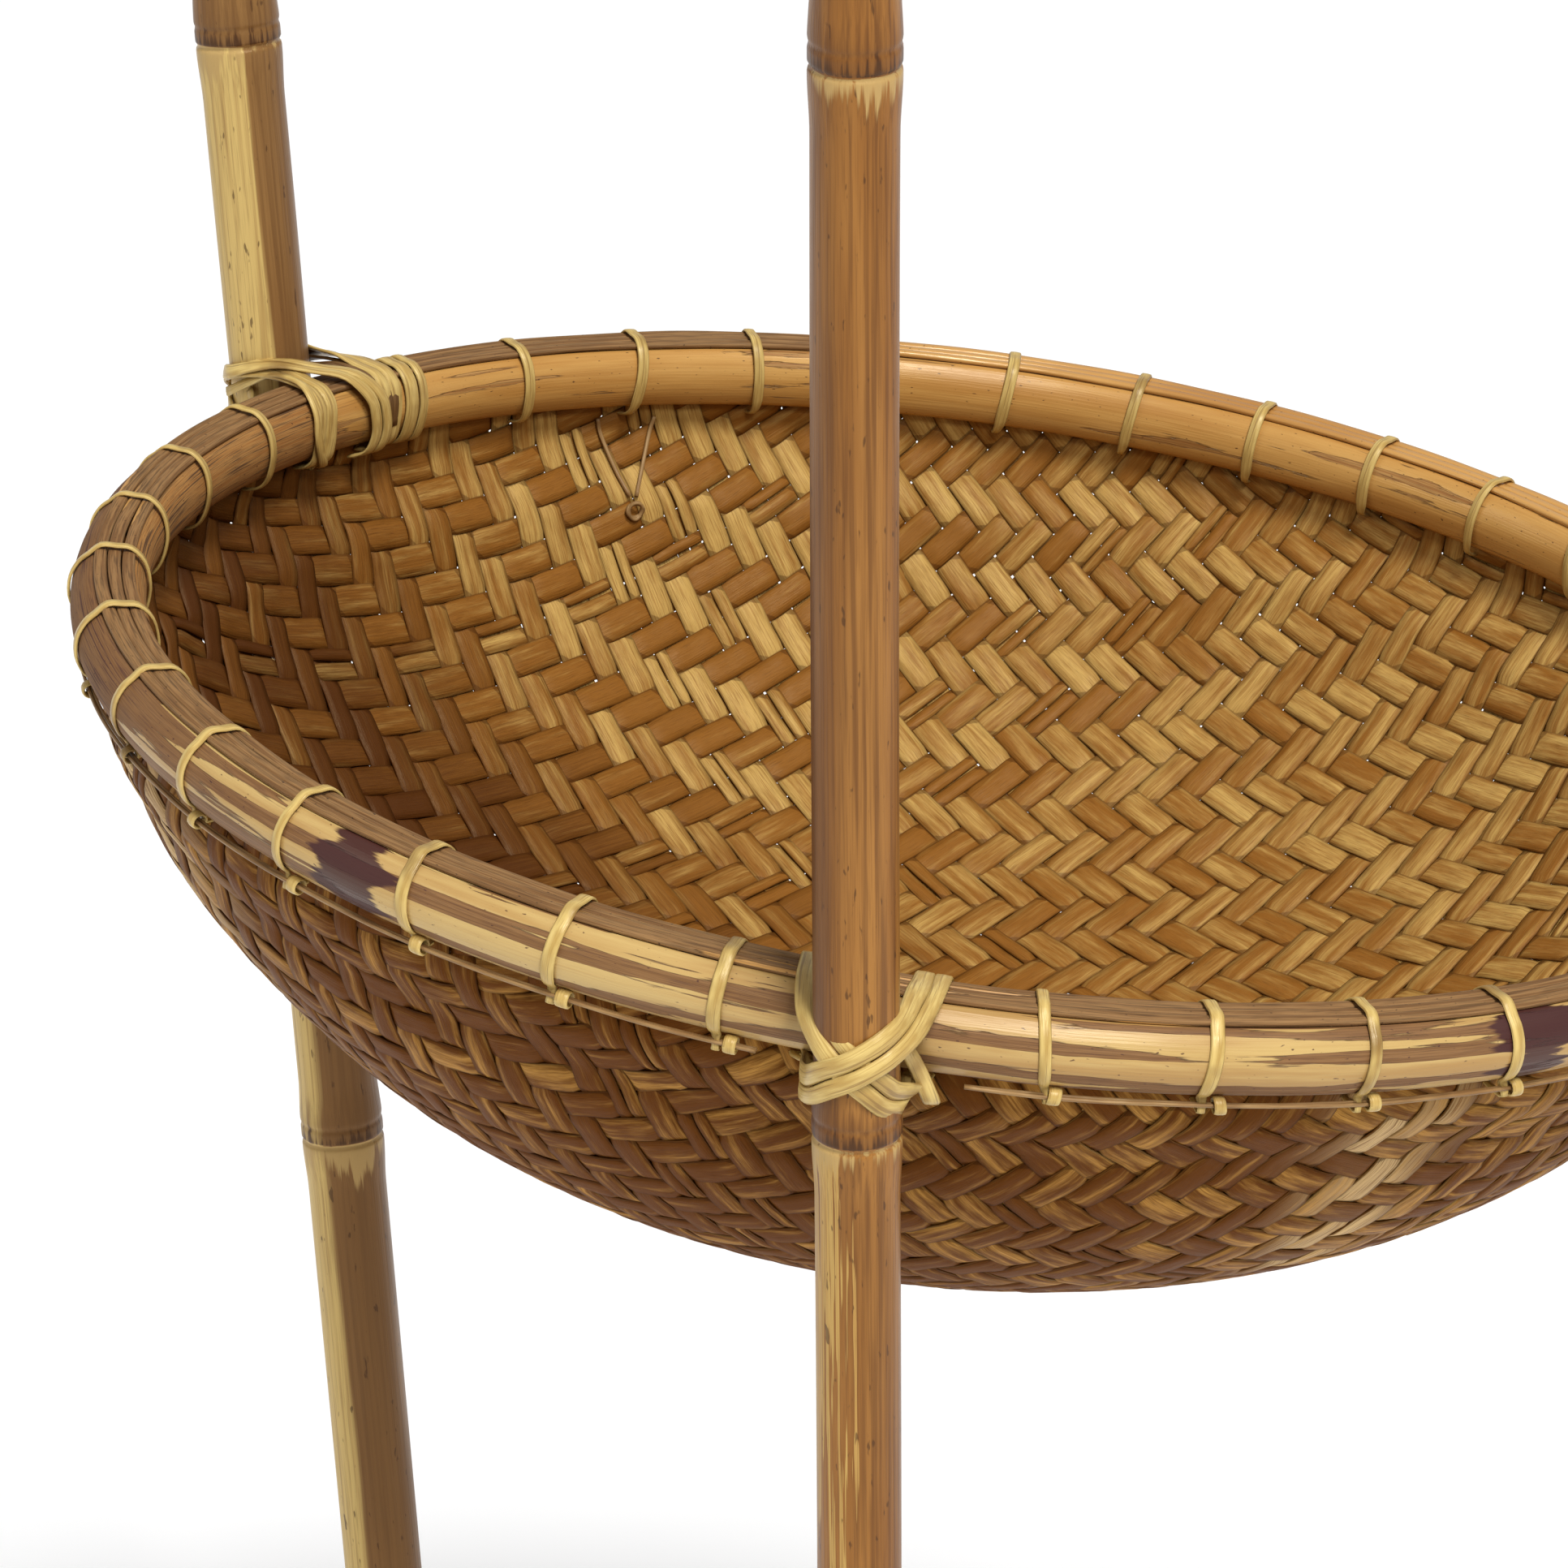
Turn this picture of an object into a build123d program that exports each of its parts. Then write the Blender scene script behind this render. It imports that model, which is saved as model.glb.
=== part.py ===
from build123d import *
import math
import os

# Three-pole bamboo stand with one large woven bowl basket lashed between the poles.
# Millimetres. +Z is up, the floor is Z = 0, and the front pole stands on the -Y side.
# Azimuth 0 is the front pole's side and grows towards +X.

# ---- driving dimensions: the whole stand ----
RIM_RADIUS = 280.0          # centre line of the basket's rim
RIM_HEIGHT = 700.0          # rim centre above the floor
STAND_HEIGHT = 1090.0       # cut tops of the poles above the floor
BASKET_TILT = 7.25          # degrees the basket leans towards +X
POLE_AZIMUTHS = {"front": 0.0, "rear_left": -120.0, "rear_right": 120.0}
CLEARANCE = 0.3             # between pieces that lie on each other

# ---- driving dimensions: poles ----
POLE_RADII = {"front": 12.25, "rear_left": 13.75, "rear_right": 13.0}
POLE_LEANS = {"front": 4.0, "rear_left": 5.0, "rear_right": 5.0}    # degrees, tops outwards
CULM_WALL = 4.0
SEPTUM = 4.0
COLLAR_SWELL = 0.6          # how much thicker a culm is just above a joint
COLLAR_HEIGHT = 7.0
COLLAR_FADE = 20.0
JOINT_GROOVE = 1.6          # height of the step under a collar
TOP_CUP = 8.0               # hollow end above the last septum
FOOT_PLUG = 14.0            # solid end at the floor
# Heights of the joints along each pole, from its lashing
POLE_JOINTS = {
    "front": (296.0, -33.0, -380.0, -660.0),
    "rear_left": (129.0, -270.0, -610.0),
    "rear_right": (205.0, -160.0, -505.0),
}

# ---- driving dimensions: rim ----
OUTER_HOOP_THICK = 12.0
INNER_HOOP_THICK = 8.5
HOOP_HEIGHT = 21.0
HOOP_EDGE = 6.0             # flat part of a hoop's top, next to the wall
INNER_HOOP_EDGE = 3.5
WALL = 3.0                  # two layers of woven strip
HOOP_GAP = 0.25
SPLINT_WIDTH = 4.2
SPLINT_THICK = 2.2
SPLINT_GAP = 0.2
RUNNER_RADIUS = 1.4
RUNNER_PROUD = 1.6          # runner's centre outside the outer hoop's lower edge
RUNNER_HANG = 2.4           # and below it
CANE_THICK = 1.2
LOOP_WIDTH = 5.0
LOOP_CORNER = 6.0
KEEPER_LENGTH = 5.0         # short wrap round the runner beside each loop
KEEPER_THICK = 0.7
SLOT_CLEARANCE = 0.35       # round cane that passes through the wall
# First azimuth, pitch and number of binding loops between two poles
LOOP_RUNS = ((-8.5, -10.1, 11), (-137.0, -9.6, 11), (10.2, 9.6, 11))

# ---- driving dimensions: bowl ----
BOWL_DEPTH = 175.0
BOWL_WAIST = 8.4            # how far the bowl's ellipse starts inside the rim's centre line
BOWL_SHIFT = 14.0           # bottom lies this far towards -X
TAIL_BELOW_LOOPS = 1.2      # straight wall that goes on below the binding loops
FLARE_DEPTH = 29.0          # depth in which the flare below that wall runs out
BOWL_SECTIONS = 9

# ---- driving dimensions: lashings ----
BAND_WIDTH = 4.6
BAND_PITCH = 5.0
LASH_ROOM = 1.0             # beside the pole and the rim, inside a turn
LASH_ANGLE = 45.0
LASH_BACK = 12.4            # how far a turn reaches inside the rim's centre
LASH_CORNER_RIM = 8.0
LASH_CORNER_POLE = 13.0
RUNNER_GAP_ANGLE = 6.0      # the runner stops this far from each pole
WRAP_OFFSET = 9.6           # rim wraps beside a rear pole, degrees
WRAP_PITCH = 1.5
TIE_AZIMUTH = -146.6
TIE_SPREAD = 4.6            # degrees between the tops of the mending tie's strands
TIE_RADIUS = 0.8
TIE_DROP = 3.2              # its top, below the binding loops
TIE_HEIGHT = 27.0
KNOT_RADIUS = 2.6

# ---- worked out from the above ----
RIM_HALF_WIDTH = (OUTER_HOOP_THICK + INNER_HOOP_THICK + WALL + 2 * HOOP_GAP) / 2
RIM_OUTSIDE = RIM_RADIUS + RIM_HALF_WIDTH
RIM_INSIDE = RIM_RADIUS - RIM_HALF_WIDTH
OUTER_HOOP_BACK = RIM_OUTSIDE - OUTER_HOOP_THICK
INNER_HOOP_BACK = RIM_INSIDE + INNER_HOOP_THICK
WALL_OUTSIDE = OUTER_HOOP_BACK - HOOP_GAP
WALL_INSIDE = WALL_OUTSIDE - WALL
HALF_HOOP = HOOP_HEIGHT / 2
SPLINT_BASE = HALF_HOOP + SPLINT_GAP
SPLINT_TOP = SPLINT_BASE + SPLINT_THICK
RUNNER_AT = OUTER_HOOP_BACK + HOOP_EDGE + RUNNER_PROUD
RUNNER_DROP = HALF_HOOP + RUNNER_HANG
LOOP_BOTTOM = RUNNER_DROP + RUNNER_RADIUS + CLEARANCE + CANE_THICK
RIM_TAIL = LOOP_BOTTOM + TAIL_BELOW_LOOPS
FLARE_END = RIM_TAIL + FLARE_DEPTH
TIE_TOP = LOOP_BOTTOM + TIE_DROP
TIE_BOTTOM = TIE_TOP + TIE_HEIGHT
# The outer hoop's face is an arc; its centre is where a pole or a lashing is measured from
HOOP_SAG = OUTER_HOOP_THICK - HOOP_EDGE
HOOP_ARC = (HALF_HOOP ** 2 + HOOP_SAG ** 2) / (2 * HOOP_SAG)
HOOP_ARC_CENTRE = RIM_OUTSIDE - HOOP_ARC


def outward(azimuth):
    """Level unit vector at this azimuth."""
    angle = math.radians(azimuth)
    return Vector(math.sin(angle), -math.cos(angle), 0)


def sideways(azimuth):
    """Level unit vector along the rim, towards larger azimuths."""
    angle = math.radians(azimuth)
    return Vector(math.cos(angle), math.sin(angle), 0)


BASKET = Location((0, 0, RIM_HEIGHT)) * Rot(0, BASKET_TILT, 0)


def from_basket(vector):
    """A direction given in the basket's own frame, as a direction of the stand."""
    tilt = math.radians(BASKET_TILT)
    x = vector.X * math.cos(tilt) + vector.Z * math.sin(tilt)
    z = vector.Z * math.cos(tilt) - vector.X * math.sin(tilt)
    return Vector(x, vector.Y, z)


def rim_point(azimuth, radius, height=0.0):
    """A point given in the basket's own frame, as a point of the stand."""
    return Vector(0, 0, RIM_HEIGHT) + from_basket(outward(azimuth) * radius + Vector(0, 0, height))


# ---------------------------------------------------------------- poles

def pole_frame(name):
    """Plane at a pole's lashing: Z along the pole, X out of the stand, origin on the pole's axis."""
    azimuth = POLE_AZIMUTHS[name]
    lean = math.radians(POLE_LEANS[name])
    up = (Vector(0, 0, 1) * math.cos(lean) + outward(azimuth) * math.sin(lean)).normalized()
    along_rim = from_basket(sideways(azimuth))
    out = along_rim.cross(up).normalized()
    seat = HOOP_ARC + CLEARANCE + POLE_RADII[name]
    return Plane(origin=rim_point(azimuth, HOOP_ARC_CENTRE) + out * seat, x_dir=out, z_dir=up)


def make_pole(name):
    """Hollow culm with a septum at each joint, cut level at the floor and at the top."""
    radius = POLE_RADII[name]
    plane = pole_frame(name)
    lean = math.cos(math.radians(POLE_LEANS[name]))
    low = -plane.origin.Z / lean
    high = (STAND_HEIGHT - plane.origin.Z) / lean
    spare = 2 * radius
    joints = [z for z in sorted(POLE_JOINTS[name]) if low + FOOT_PLUG < z < high - COLLAR_FADE]
    outline = [(0, low - spare), (radius, low - spare)]
    for z in joints:
        swollen = radius + COLLAR_SWELL
        outline += [(radius, z - JOINT_GROOVE), (swollen, z), (swollen, z + COLLAR_HEIGHT)]
        outline += [(radius, z + COLLAR_FADE)]
    outline += [(radius, high + spare), (0, high + spare)]
    culm = revolve(make_face(Polyline(*[(r, 0, z) for r, z in outline], close=True)), Axis.Z)
    floors = [low + FOOT_PLUG - SEPTUM / 2] + joints + [high - TOP_CUP - SEPTUM / 2]
    bore = radius - CULM_WALL
    for bottom, top in zip(floors, floors[1:]):
        length = top - bottom - SEPTUM
        culm -= Pos(0, 0, bottom + SEPTUM / 2) * Cylinder(bore, length, align=(Align.CENTER, Align.CENTER, Align.MIN))
    culm -= Pos(0, 0, high - TOP_CUP) * Cylinder(bore, TOP_CUP + spare, align=(Align.CENTER, Align.CENTER, Align.MIN))
    size = 4 * RIM_RADIUS
    slab = Box(size, size, STAND_HEIGHT, align=(Align.CENTER, Align.CENTER, Align.MIN))
    return plane.location * culm & slab


# ---------------------------------------------------------------- rim

def spun(face):
    """Full ring from a section drawn with X outwards from the basket's axis."""
    return revolve(face, Axis.Z)


def hoop_section(back, face, edge):
    """Half-round split pole: flat back against the wall, arched face away from it."""
    out = 1 if face > back else -1
    corner = back + out * edge
    outline = (
        Line((back, 0, -HALF_HOOP), (corner, 0, -HALF_HOOP))
        + ThreePointArc((corner, 0, -HALF_HOOP), (face, 0, 0), (corner, 0, HALF_HOOP))
        + Line((corner, 0, HALF_HOOP), (back, 0, HALF_HOOP))
        + Line((back, 0, HALF_HOOP), (back, 0, -HALF_HOOP))
    )
    return make_face(outline)


def ring_plane(azimuth):
    """Upright plane across the rim: X outwards, Y up, in the basket's own frame."""
    side = sideways(azimuth)
    return Plane(origin=(0, 0, 0), x_dir=outward(azimuth), z_dir=-side)


def splint(centre):
    """Thin strip bent round the top of the rim."""
    section = Rectangle(SPLINT_WIDTH, SPLINT_THICK)
    section = Plane.XZ * Pos(centre, SPLINT_BASE + SPLINT_THICK / 2) * section
    return spun(section)


def splint_centres():
    """Radii of the three strips, from inside to outside."""
    pitch = SPLINT_WIDTH + SPLINT_GAP
    middle = (WALL_INSIDE + WALL_OUTSIDE) / 2 + SPLINT_WIDTH / 5
    return middle - pitch, middle, middle + pitch


def loop_azimuths():
    """Azimuths of all binding loops."""
    return [first + pitch * k for first, pitch, count in LOOP_RUNS for k in range(count)]


def loop_box():
    """Centre height, half width and half height of the space inside a loop."""
    top = SPLINT_TOP + CLEARANCE
    bottom = CANE_THICK - LOOP_BOTTOM
    return (top + bottom) / 2, RIM_HALF_WIDTH + CLEARANCE, (top - bottom) / 2


def cane_loop(azimuth, width, grow=0.0, spare=0.0):
    """Flat cane closed round the rim; spare thickens it to cut its slot in the wall."""
    height, half_width, half_height = loop_box()
    inside = grow - spare
    outside = grow + CANE_THICK + spare
    ring = RectangleRounded(
        2 * (half_width + outside), 2 * (half_height + outside), LOOP_CORNER + outside
    ) - RectangleRounded(2 * (half_width + inside), 2 * (half_height + inside), LOOP_CORNER + inside)
    section = ring_plane(azimuth) * Pos(RIM_RADIUS, height) * ring
    return extrude(section, width / 2 + spare, both=True)


def wrap_azimuths(name):
    """Azimuths of the two rim wraps on the back side of a rear pole."""
    side = math.copysign(1, POLE_AZIMUTHS[name])
    first = POLE_AZIMUTHS[name] + side * WRAP_OFFSET
    return first, first + side * WRAP_PITCH


def make_runner():
    """Round cane under the outer hoop, in one length between each two poles."""
    section = Plane.XZ * Pos(RUNNER_AT, -RUNNER_DROP) * Circle(RUNNER_RADIUS)
    poles = sorted(POLE_AZIMUTHS.values())
    lengths = []
    for start, end in zip(poles, poles[1:] + [poles[0] + 360]):
        sweep_angle = end - start - 2 * RUNNER_GAP_ANGLE
        piece = revolve(section, Axis.Z, revolution_arc=sweep_angle)
        # Azimuth 0 lies on -Y, a quarter turn before +X where the section is drawn
        lengths.append(Rot(0, 0, start + RUNNER_GAP_ANGLE - 90) * piece)
    return lengths


def make_keeper(azimuth):
    """Short wrap round the runner, just past a loop."""
    step = math.degrees((LOOP_WIDTH / 2 + CLEARANCE + KEEPER_LENGTH / 2) / RUNNER_AT)
    there = azimuth + step
    centre = outward(there) * RUNNER_AT - Vector(0, 0, RUNNER_DROP)
    bore = RUNNER_RADIUS + CLEARANCE / 2
    ring = Circle(bore + KEEPER_THICK) - Circle(bore)
    return extrude(Plane(origin=centre, z_dir=sideways(there)) * ring, KEEPER_LENGTH / 2, both=True)


# ---------------------------------------------------------------- bowl

def bowl_radius(depth, inset):
    """Radius of the bowl's outside at a depth below the rim; inset gives the inside."""
    width = RIM_RADIUS - BOWL_WAIST - inset
    height = BOWL_DEPTH - inset
    ellipse = width * math.sqrt(max(0.0, 1 - (depth / height) ** 2))
    share = min(1.0, max(0.0, (depth - RIM_TAIL) / (FLARE_END - RIM_TAIL)))
    ease = share * share * (3 - 2 * share)
    return (WALL_OUTSIDE - inset) * (1 - ease) + ellipse * ease


def bowl_centre(depth):
    """How far towards -X the bowl's centre has moved at a depth."""
    return BOWL_SHIFT * (max(0.0, depth - RIM_TAIL) / (BOWL_DEPTH - RIM_TAIL)) ** 2


def bowl_skin(inset):
    """Solid bounded by the bowl's outside, or by its inside when it is inset."""
    height = BOWL_DEPTH - inset
    start = math.degrees(math.asin(RIM_TAIL / height))
    depths = [RIM_TAIL, (RIM_TAIL + FLARE_END) / 2]
    first = math.degrees(math.asin(FLARE_END / height))
    last = 86.0
    for k in range(BOWL_SECTIONS):
        depths.append(height * math.sin(math.radians(first + (last - first) * k / (BOWL_SECTIONS - 1))))
    faces = [Pos(-bowl_centre(d), 0, -d) * Circle(bowl_radius(d, inset)) for d in depths]
    return loft(faces[::-1])


def make_bowl(loop_slots, lash_slots):
    """Woven bowl as one shell: a straight band between the hoops and the round bowl below it."""
    top = HALF_HOOP - 1.0
    band = Pos(0, 0, -RIM_TAIL) * Cylinder(
        WALL_OUTSIDE, top + RIM_TAIL, align=(Align.CENTER, Align.CENTER, Align.MIN)
    )
    hollow = Pos(0, 0, -RIM_TAIL) * Cylinder(
        WALL_INSIDE, top + RIM_TAIL, align=(Align.CENTER, Align.CENTER, Align.MIN)
    )
    band = band - hollow - loop_slots
    return (bowl_skin(0.0) - bowl_skin(WALL)) + band - lash_slots


# ---------------------------------------------------------------- lashings

def belt(reach, low, high, low_corner, high_corner):
    """Closed outline with flat back and front: X along the slant, Y out of the stand."""
    a = reach - low_corner
    b = reach - high_corner
    edges = (
        Line((-a, low), (a, low))
        + RadiusArc((a, low), (reach, low + low_corner), -low_corner)
        + Line((reach, low + low_corner), (reach, high - high_corner))
        + RadiusArc((reach, high - high_corner), (b, high), -high_corner)
        + Line((b, high), (-b, high))
        + RadiusArc((-b, high), (-reach, high - high_corner), -high_corner)
        + Line((-reach, high - high_corner), (-reach, low + low_corner))
        + RadiusArc((-reach, low + low_corner), (-a, low), -low_corner)
    )
    return make_face(edges)


def lash_reach(name):
    """Half length of a turn along its slant, to clear the pole's slanting cut and the rim's."""
    axis = pole_frame(name).z_dir
    skew = math.asin(abs(from_basket(sideways(POLE_AZIMUTHS[name])).dot(axis)))
    cut = math.radians(LASH_ANGLE) - skew
    stack = (BAND_PITCH + BAND_WIDTH) / 2
    round_pole = POLE_RADII[name] / math.sin(cut) + stack / math.tan(cut)
    # The rim also leans against the pole, which lifts its corners
    lean = math.radians(BASKET_TILT + POLE_LEANS[name])
    corner = SPLINT_TOP * math.cos(lean) + RIM_HALF_WIDTH * math.sin(lean)
    round_rim = corner / math.sin(math.radians(LASH_ANGLE)) + stack
    return max(round_pole, round_rim) + LASH_ROOM


def lash_turns(name, rising, spare=0.0):
    """Two flat turns round pole and rim; the rising pair lies over the falling pair."""
    azimuth = POLE_AZIMUTHS[name]
    along_rim = from_basket(sideways(azimuth))
    out = pole_frame(name).x_dir
    reach = lash_reach(name)
    up = out.cross(along_rim).normalized()
    angle = math.radians(LASH_ANGLE)
    side = 1 if rising else -1
    slant = along_rim * (side * math.cos(angle)) + up * math.sin(angle)
    grow = CANE_THICK + CLEARANCE if rising else 0.0
    high = HOOP_ARC + 2 * CLEARANCE + 2 * POLE_RADII[name]
    rings = []
    for inside in (grow - spare, grow + CANE_THICK + spare):
        rings.append(belt(reach + inside, -LASH_BACK - inside, high + inside,
                          LASH_CORNER_RIM + inside, LASH_CORNER_POLE + inside))
    ring = rings[1] - rings[0]
    middle = rim_point(azimuth, HOOP_ARC_CENTRE)
    plane = Plane(origin=middle, x_dir=slant, z_dir=slant.cross(out))
    turns = []
    for offset in (-BAND_PITCH / 2, BAND_PITCH / 2):
        turns.append(extrude(plane.offset(offset) * ring, BAND_WIDTH / 2 + spare, both=True))
    return turns


def rod(start, end, radius):
    """Straight round strand between two points."""
    way = end - start
    return extrude(Plane(origin=start, z_dir=way) * Circle(radius), way.length)


def inside_point(azimuth, depth, radius):
    """Centre of something of this radius that lies on the bowl's sloping inside."""
    rise = 1.0
    slope = (bowl_radius(depth, WALL) - bowl_radius(depth + rise, WALL)) / rise
    off = (radius + CLEARANCE) * math.hypot(1, slope)
    centre = Vector(-bowl_centre(depth), 0, -depth)
    return centre + outward(azimuth) * (bowl_radius(depth, WALL) - off)


def make_tie():
    """Thin cane in a V on the bowl's inside, ending in a small knot."""
    foot = inside_point(TIE_AZIMUTH, TIE_BOTTOM, KNOT_RADIUS)
    tie = Pos(foot) * Sphere(KNOT_RADIUS)
    for side in (-1, 1):
        there = TIE_AZIMUTH + side * TIE_SPREAD / 2
        tie += rod(inside_point(there, TIE_TOP, TIE_RADIUS), foot, TIE_RADIUS)
    return tie


# ---------------------------------------------------------------- assembly

def in_basket(shapes):
    """Places shapes drawn in the basket's own frame."""
    return [BASKET * shape for shape in shapes]


def build():
    """All pieces by name, each a list of separate solids."""
    rear = [name for name in POLE_AZIMUTHS if name != "front"]
    pieces = {}
    for name in POLE_AZIMUTHS:
        pieces["pole_" + name] = [make_pole(name)]
    outer = hoop_section(OUTER_HOOP_BACK, RIM_OUTSIDE, HOOP_EDGE)
    inner = hoop_section(INNER_HOOP_BACK, RIM_INSIDE, INNER_HOOP_EDGE)
    pieces["outer_hoop"] = in_basket([spun(outer)])
    pieces["inner_hoop"] = in_basket([spun(inner)])
    for label, centre in zip(("inner", "middle", "outer"), splint_centres()):
        pieces["rim_splint_" + label] = in_basket([splint(centre)])
    pieces["runner_cane"] = in_basket(make_runner())
    loops = loop_azimuths()
    pieces["rim_binding_loops"] = in_basket([cane_loop(a, LOOP_WIDTH) for a in loops])
    pieces["runner_keepers"] = in_basket([make_keeper(a) for a in loops])
    loop_slots = [cane_loop(a, LOOP_WIDTH, spare=SLOT_CLEARANCE) for a in loops]
    lash_slots = []
    for name in rear:
        wraps = wrap_azimuths(name)
        pieces["rim_wraps_" + name] = in_basket([cane_loop(a, LOOP_WIDTH) for a in wraps])
        loop_slots += [cane_loop(a, LOOP_WIDTH, spare=SLOT_CLEARANCE) for a in wraps]
    for name in POLE_AZIMUTHS:
        for rising, label in ((True, "rising"), (False, "falling")):
            pieces[f"lashing_{name}_{label}"] = lash_turns(name, rising)
            cutters = lash_turns(name, rising, spare=SLOT_CLEARANCE)
            lash_slots += [BASKET.inverse() * cutter for cutter in cutters]
    pieces["woven_bowl"] = in_basket([make_bowl(loop_slots, lash_slots)])
    pieces["mending_tie"] = in_basket([make_tie()])
    return pieces


def centred(pieces):
    """Moves all pieces so that the stand's box is centred over the origin."""
    box = Compound(children=[copy for shapes in pieces.values() for copy in
                             [Compound(shape.solids()) for shape in shapes]]).bounding_box()
    shift = Pos(-(box.min.X + box.max.X) / 2, -(box.min.Y + box.max.Y) / 2, 0)
    return {name: [shift * shape for shape in shapes] for name, shapes in pieces.items()}


def main():
    """Writes one STEP file per piece."""
    os.makedirs("parts", exist_ok=True)
    for name, shapes in centred(build()).items():
        solids = [solid for shape in shapes for solid in shape.solids()]
        whole = solids[0] if len(solids) == 1 else Compound(solids)
        export_step(whole, f"parts/{name}.step")


main()
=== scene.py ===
"""Three-pole bamboo stand with one wide twill-woven basket lashed between its poles."""

import logging
import math
import random
from dataclasses import dataclass, field
from enum import Enum
from typing import Callable, Sequence

import bmesh
import bpy
import numpy as np
from mathutils import Matrix, Vector


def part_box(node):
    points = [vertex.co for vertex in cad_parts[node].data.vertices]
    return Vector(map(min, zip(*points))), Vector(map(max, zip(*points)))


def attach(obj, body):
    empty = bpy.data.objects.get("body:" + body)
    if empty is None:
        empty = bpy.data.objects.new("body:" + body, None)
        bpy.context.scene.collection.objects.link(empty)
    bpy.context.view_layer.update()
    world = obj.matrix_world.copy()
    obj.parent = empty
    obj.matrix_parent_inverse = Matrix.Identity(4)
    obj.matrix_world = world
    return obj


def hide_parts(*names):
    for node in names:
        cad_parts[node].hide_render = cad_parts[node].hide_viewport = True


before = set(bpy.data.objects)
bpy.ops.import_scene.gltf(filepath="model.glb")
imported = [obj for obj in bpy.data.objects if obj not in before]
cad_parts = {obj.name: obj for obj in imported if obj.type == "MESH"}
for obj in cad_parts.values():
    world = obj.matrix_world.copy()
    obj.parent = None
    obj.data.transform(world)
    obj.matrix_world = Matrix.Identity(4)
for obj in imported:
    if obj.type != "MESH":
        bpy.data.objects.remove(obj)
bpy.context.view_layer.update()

LOG = logging.getLogger("bamboo_stand")
Colour = tuple[float, float, float]
Place = Callable[[np.ndarray], np.ndarray]

SAME_SPOT = 1e-6            # vertices nearer than this are one
FULL_TURN = 2.0 * math.pi


# ---------------------------------------------------------------- shape helpers

def unit(rows: np.ndarray) -> np.ndarray:
    """Returns the rows scaled to length one."""
    return rows / np.maximum(np.linalg.norm(rows, axis=-1, keepdims=True), 1e-9)


def ease(value: np.ndarray, low: float, high: float) -> np.ndarray:
    """Returns values that ease from 0, where the value is at low, to 1 at high."""
    share = np.clip((np.asarray(value, float) - low) / (high - low), 0.0, 1.0)
    return share * share * (3.0 - 2.0 * share)


def turned_from(azimuth: np.ndarray, other: float) -> np.ndarray:
    """Returns how far each azimuth is turned from another, between -180 and 180 degrees."""
    return (azimuth - other + 180.0) % 360.0 - 180.0


def girth_of(section: np.ndarray) -> float:
    """Returns the length of a section's outline."""
    return float(np.linalg.norm(np.diff(section, axis=0), axis=1).sum())


def waves(at: np.ndarray, dice: random.Random, lengths: Sequence[float]) -> np.ndarray:
    """Sums sine waves of random phase, for slow unevenness of grown material.

    Args:
        at: Distances along the piece, in metres.
        dice: Where the phases come from.
        lengths: Wave lengths in metres.

    Returns:
        Values between about -1 and 1.
    """
    total = np.zeros_like(at)
    for length in lengths:
        total = total + np.sin(at * FULL_TURN / length + dice.uniform(0.0, 6.28))
    return total / len(lengths)


def smooth_path(stations: np.ndarray, steps: int, closed: bool) -> np.ndarray:
    """Runs a Catmull-Rom curve through the stations.

    Args:
        stations: Rows of coordinates that the curve passes through.
        steps: Points per stretch between two stations.
        closed: Whether the last station joins the first.

    Returns:
        The points of the curve; a closed one repeats its first point at the end.
    """
    count = len(stations)
    if closed:
        padded = np.concatenate([stations[-1:], stations, stations[:2]])
        stretches = count
    else:
        first = 2 * stations[:1] - stations[1:2]
        last = 2 * stations[-1:] - stations[-2:-1]
        padded = np.concatenate([first, stations, last])
        stretches = count - 1
    rows = []
    for k in range(stretches):
        a, b, c, d = padded[k:k + 4]
        t = np.linspace(0.0, 1.0, steps, endpoint=False)[:, None]
        rows.append(0.5 * (2 * b + (c - a) * t + (2 * a - 5 * b + 4 * c - d) * t ** 2
                           + (3 * b - a - 3 * c + d) * t ** 3))
    rows.append(padded[stretches + 1][None])
    return np.concatenate(rows)


def round_section(width: float, height: float, points: int, power: float = 2.6) -> np.ndarray:
    """Makes a closed rounded section, a flattened cane at a power above 2.

    Args:
        width: Full width.
        height: Full height.
        points: Number of points around.
        power: 2 for an ellipse, more for squarer.

    Returns:
        Rows of (across, up), the first repeated at the end.
    """
    turn = np.linspace(0.0, FULL_TURN, points + 1)
    across = np.sign(np.cos(turn)) * np.abs(np.cos(turn)) ** (2.0 / power)
    up = np.sign(np.sin(turn)) * np.abs(np.sin(turn)) ** (2.0 / power)
    return np.stack([across * width / 2, up * height / 2], axis=1)


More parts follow.
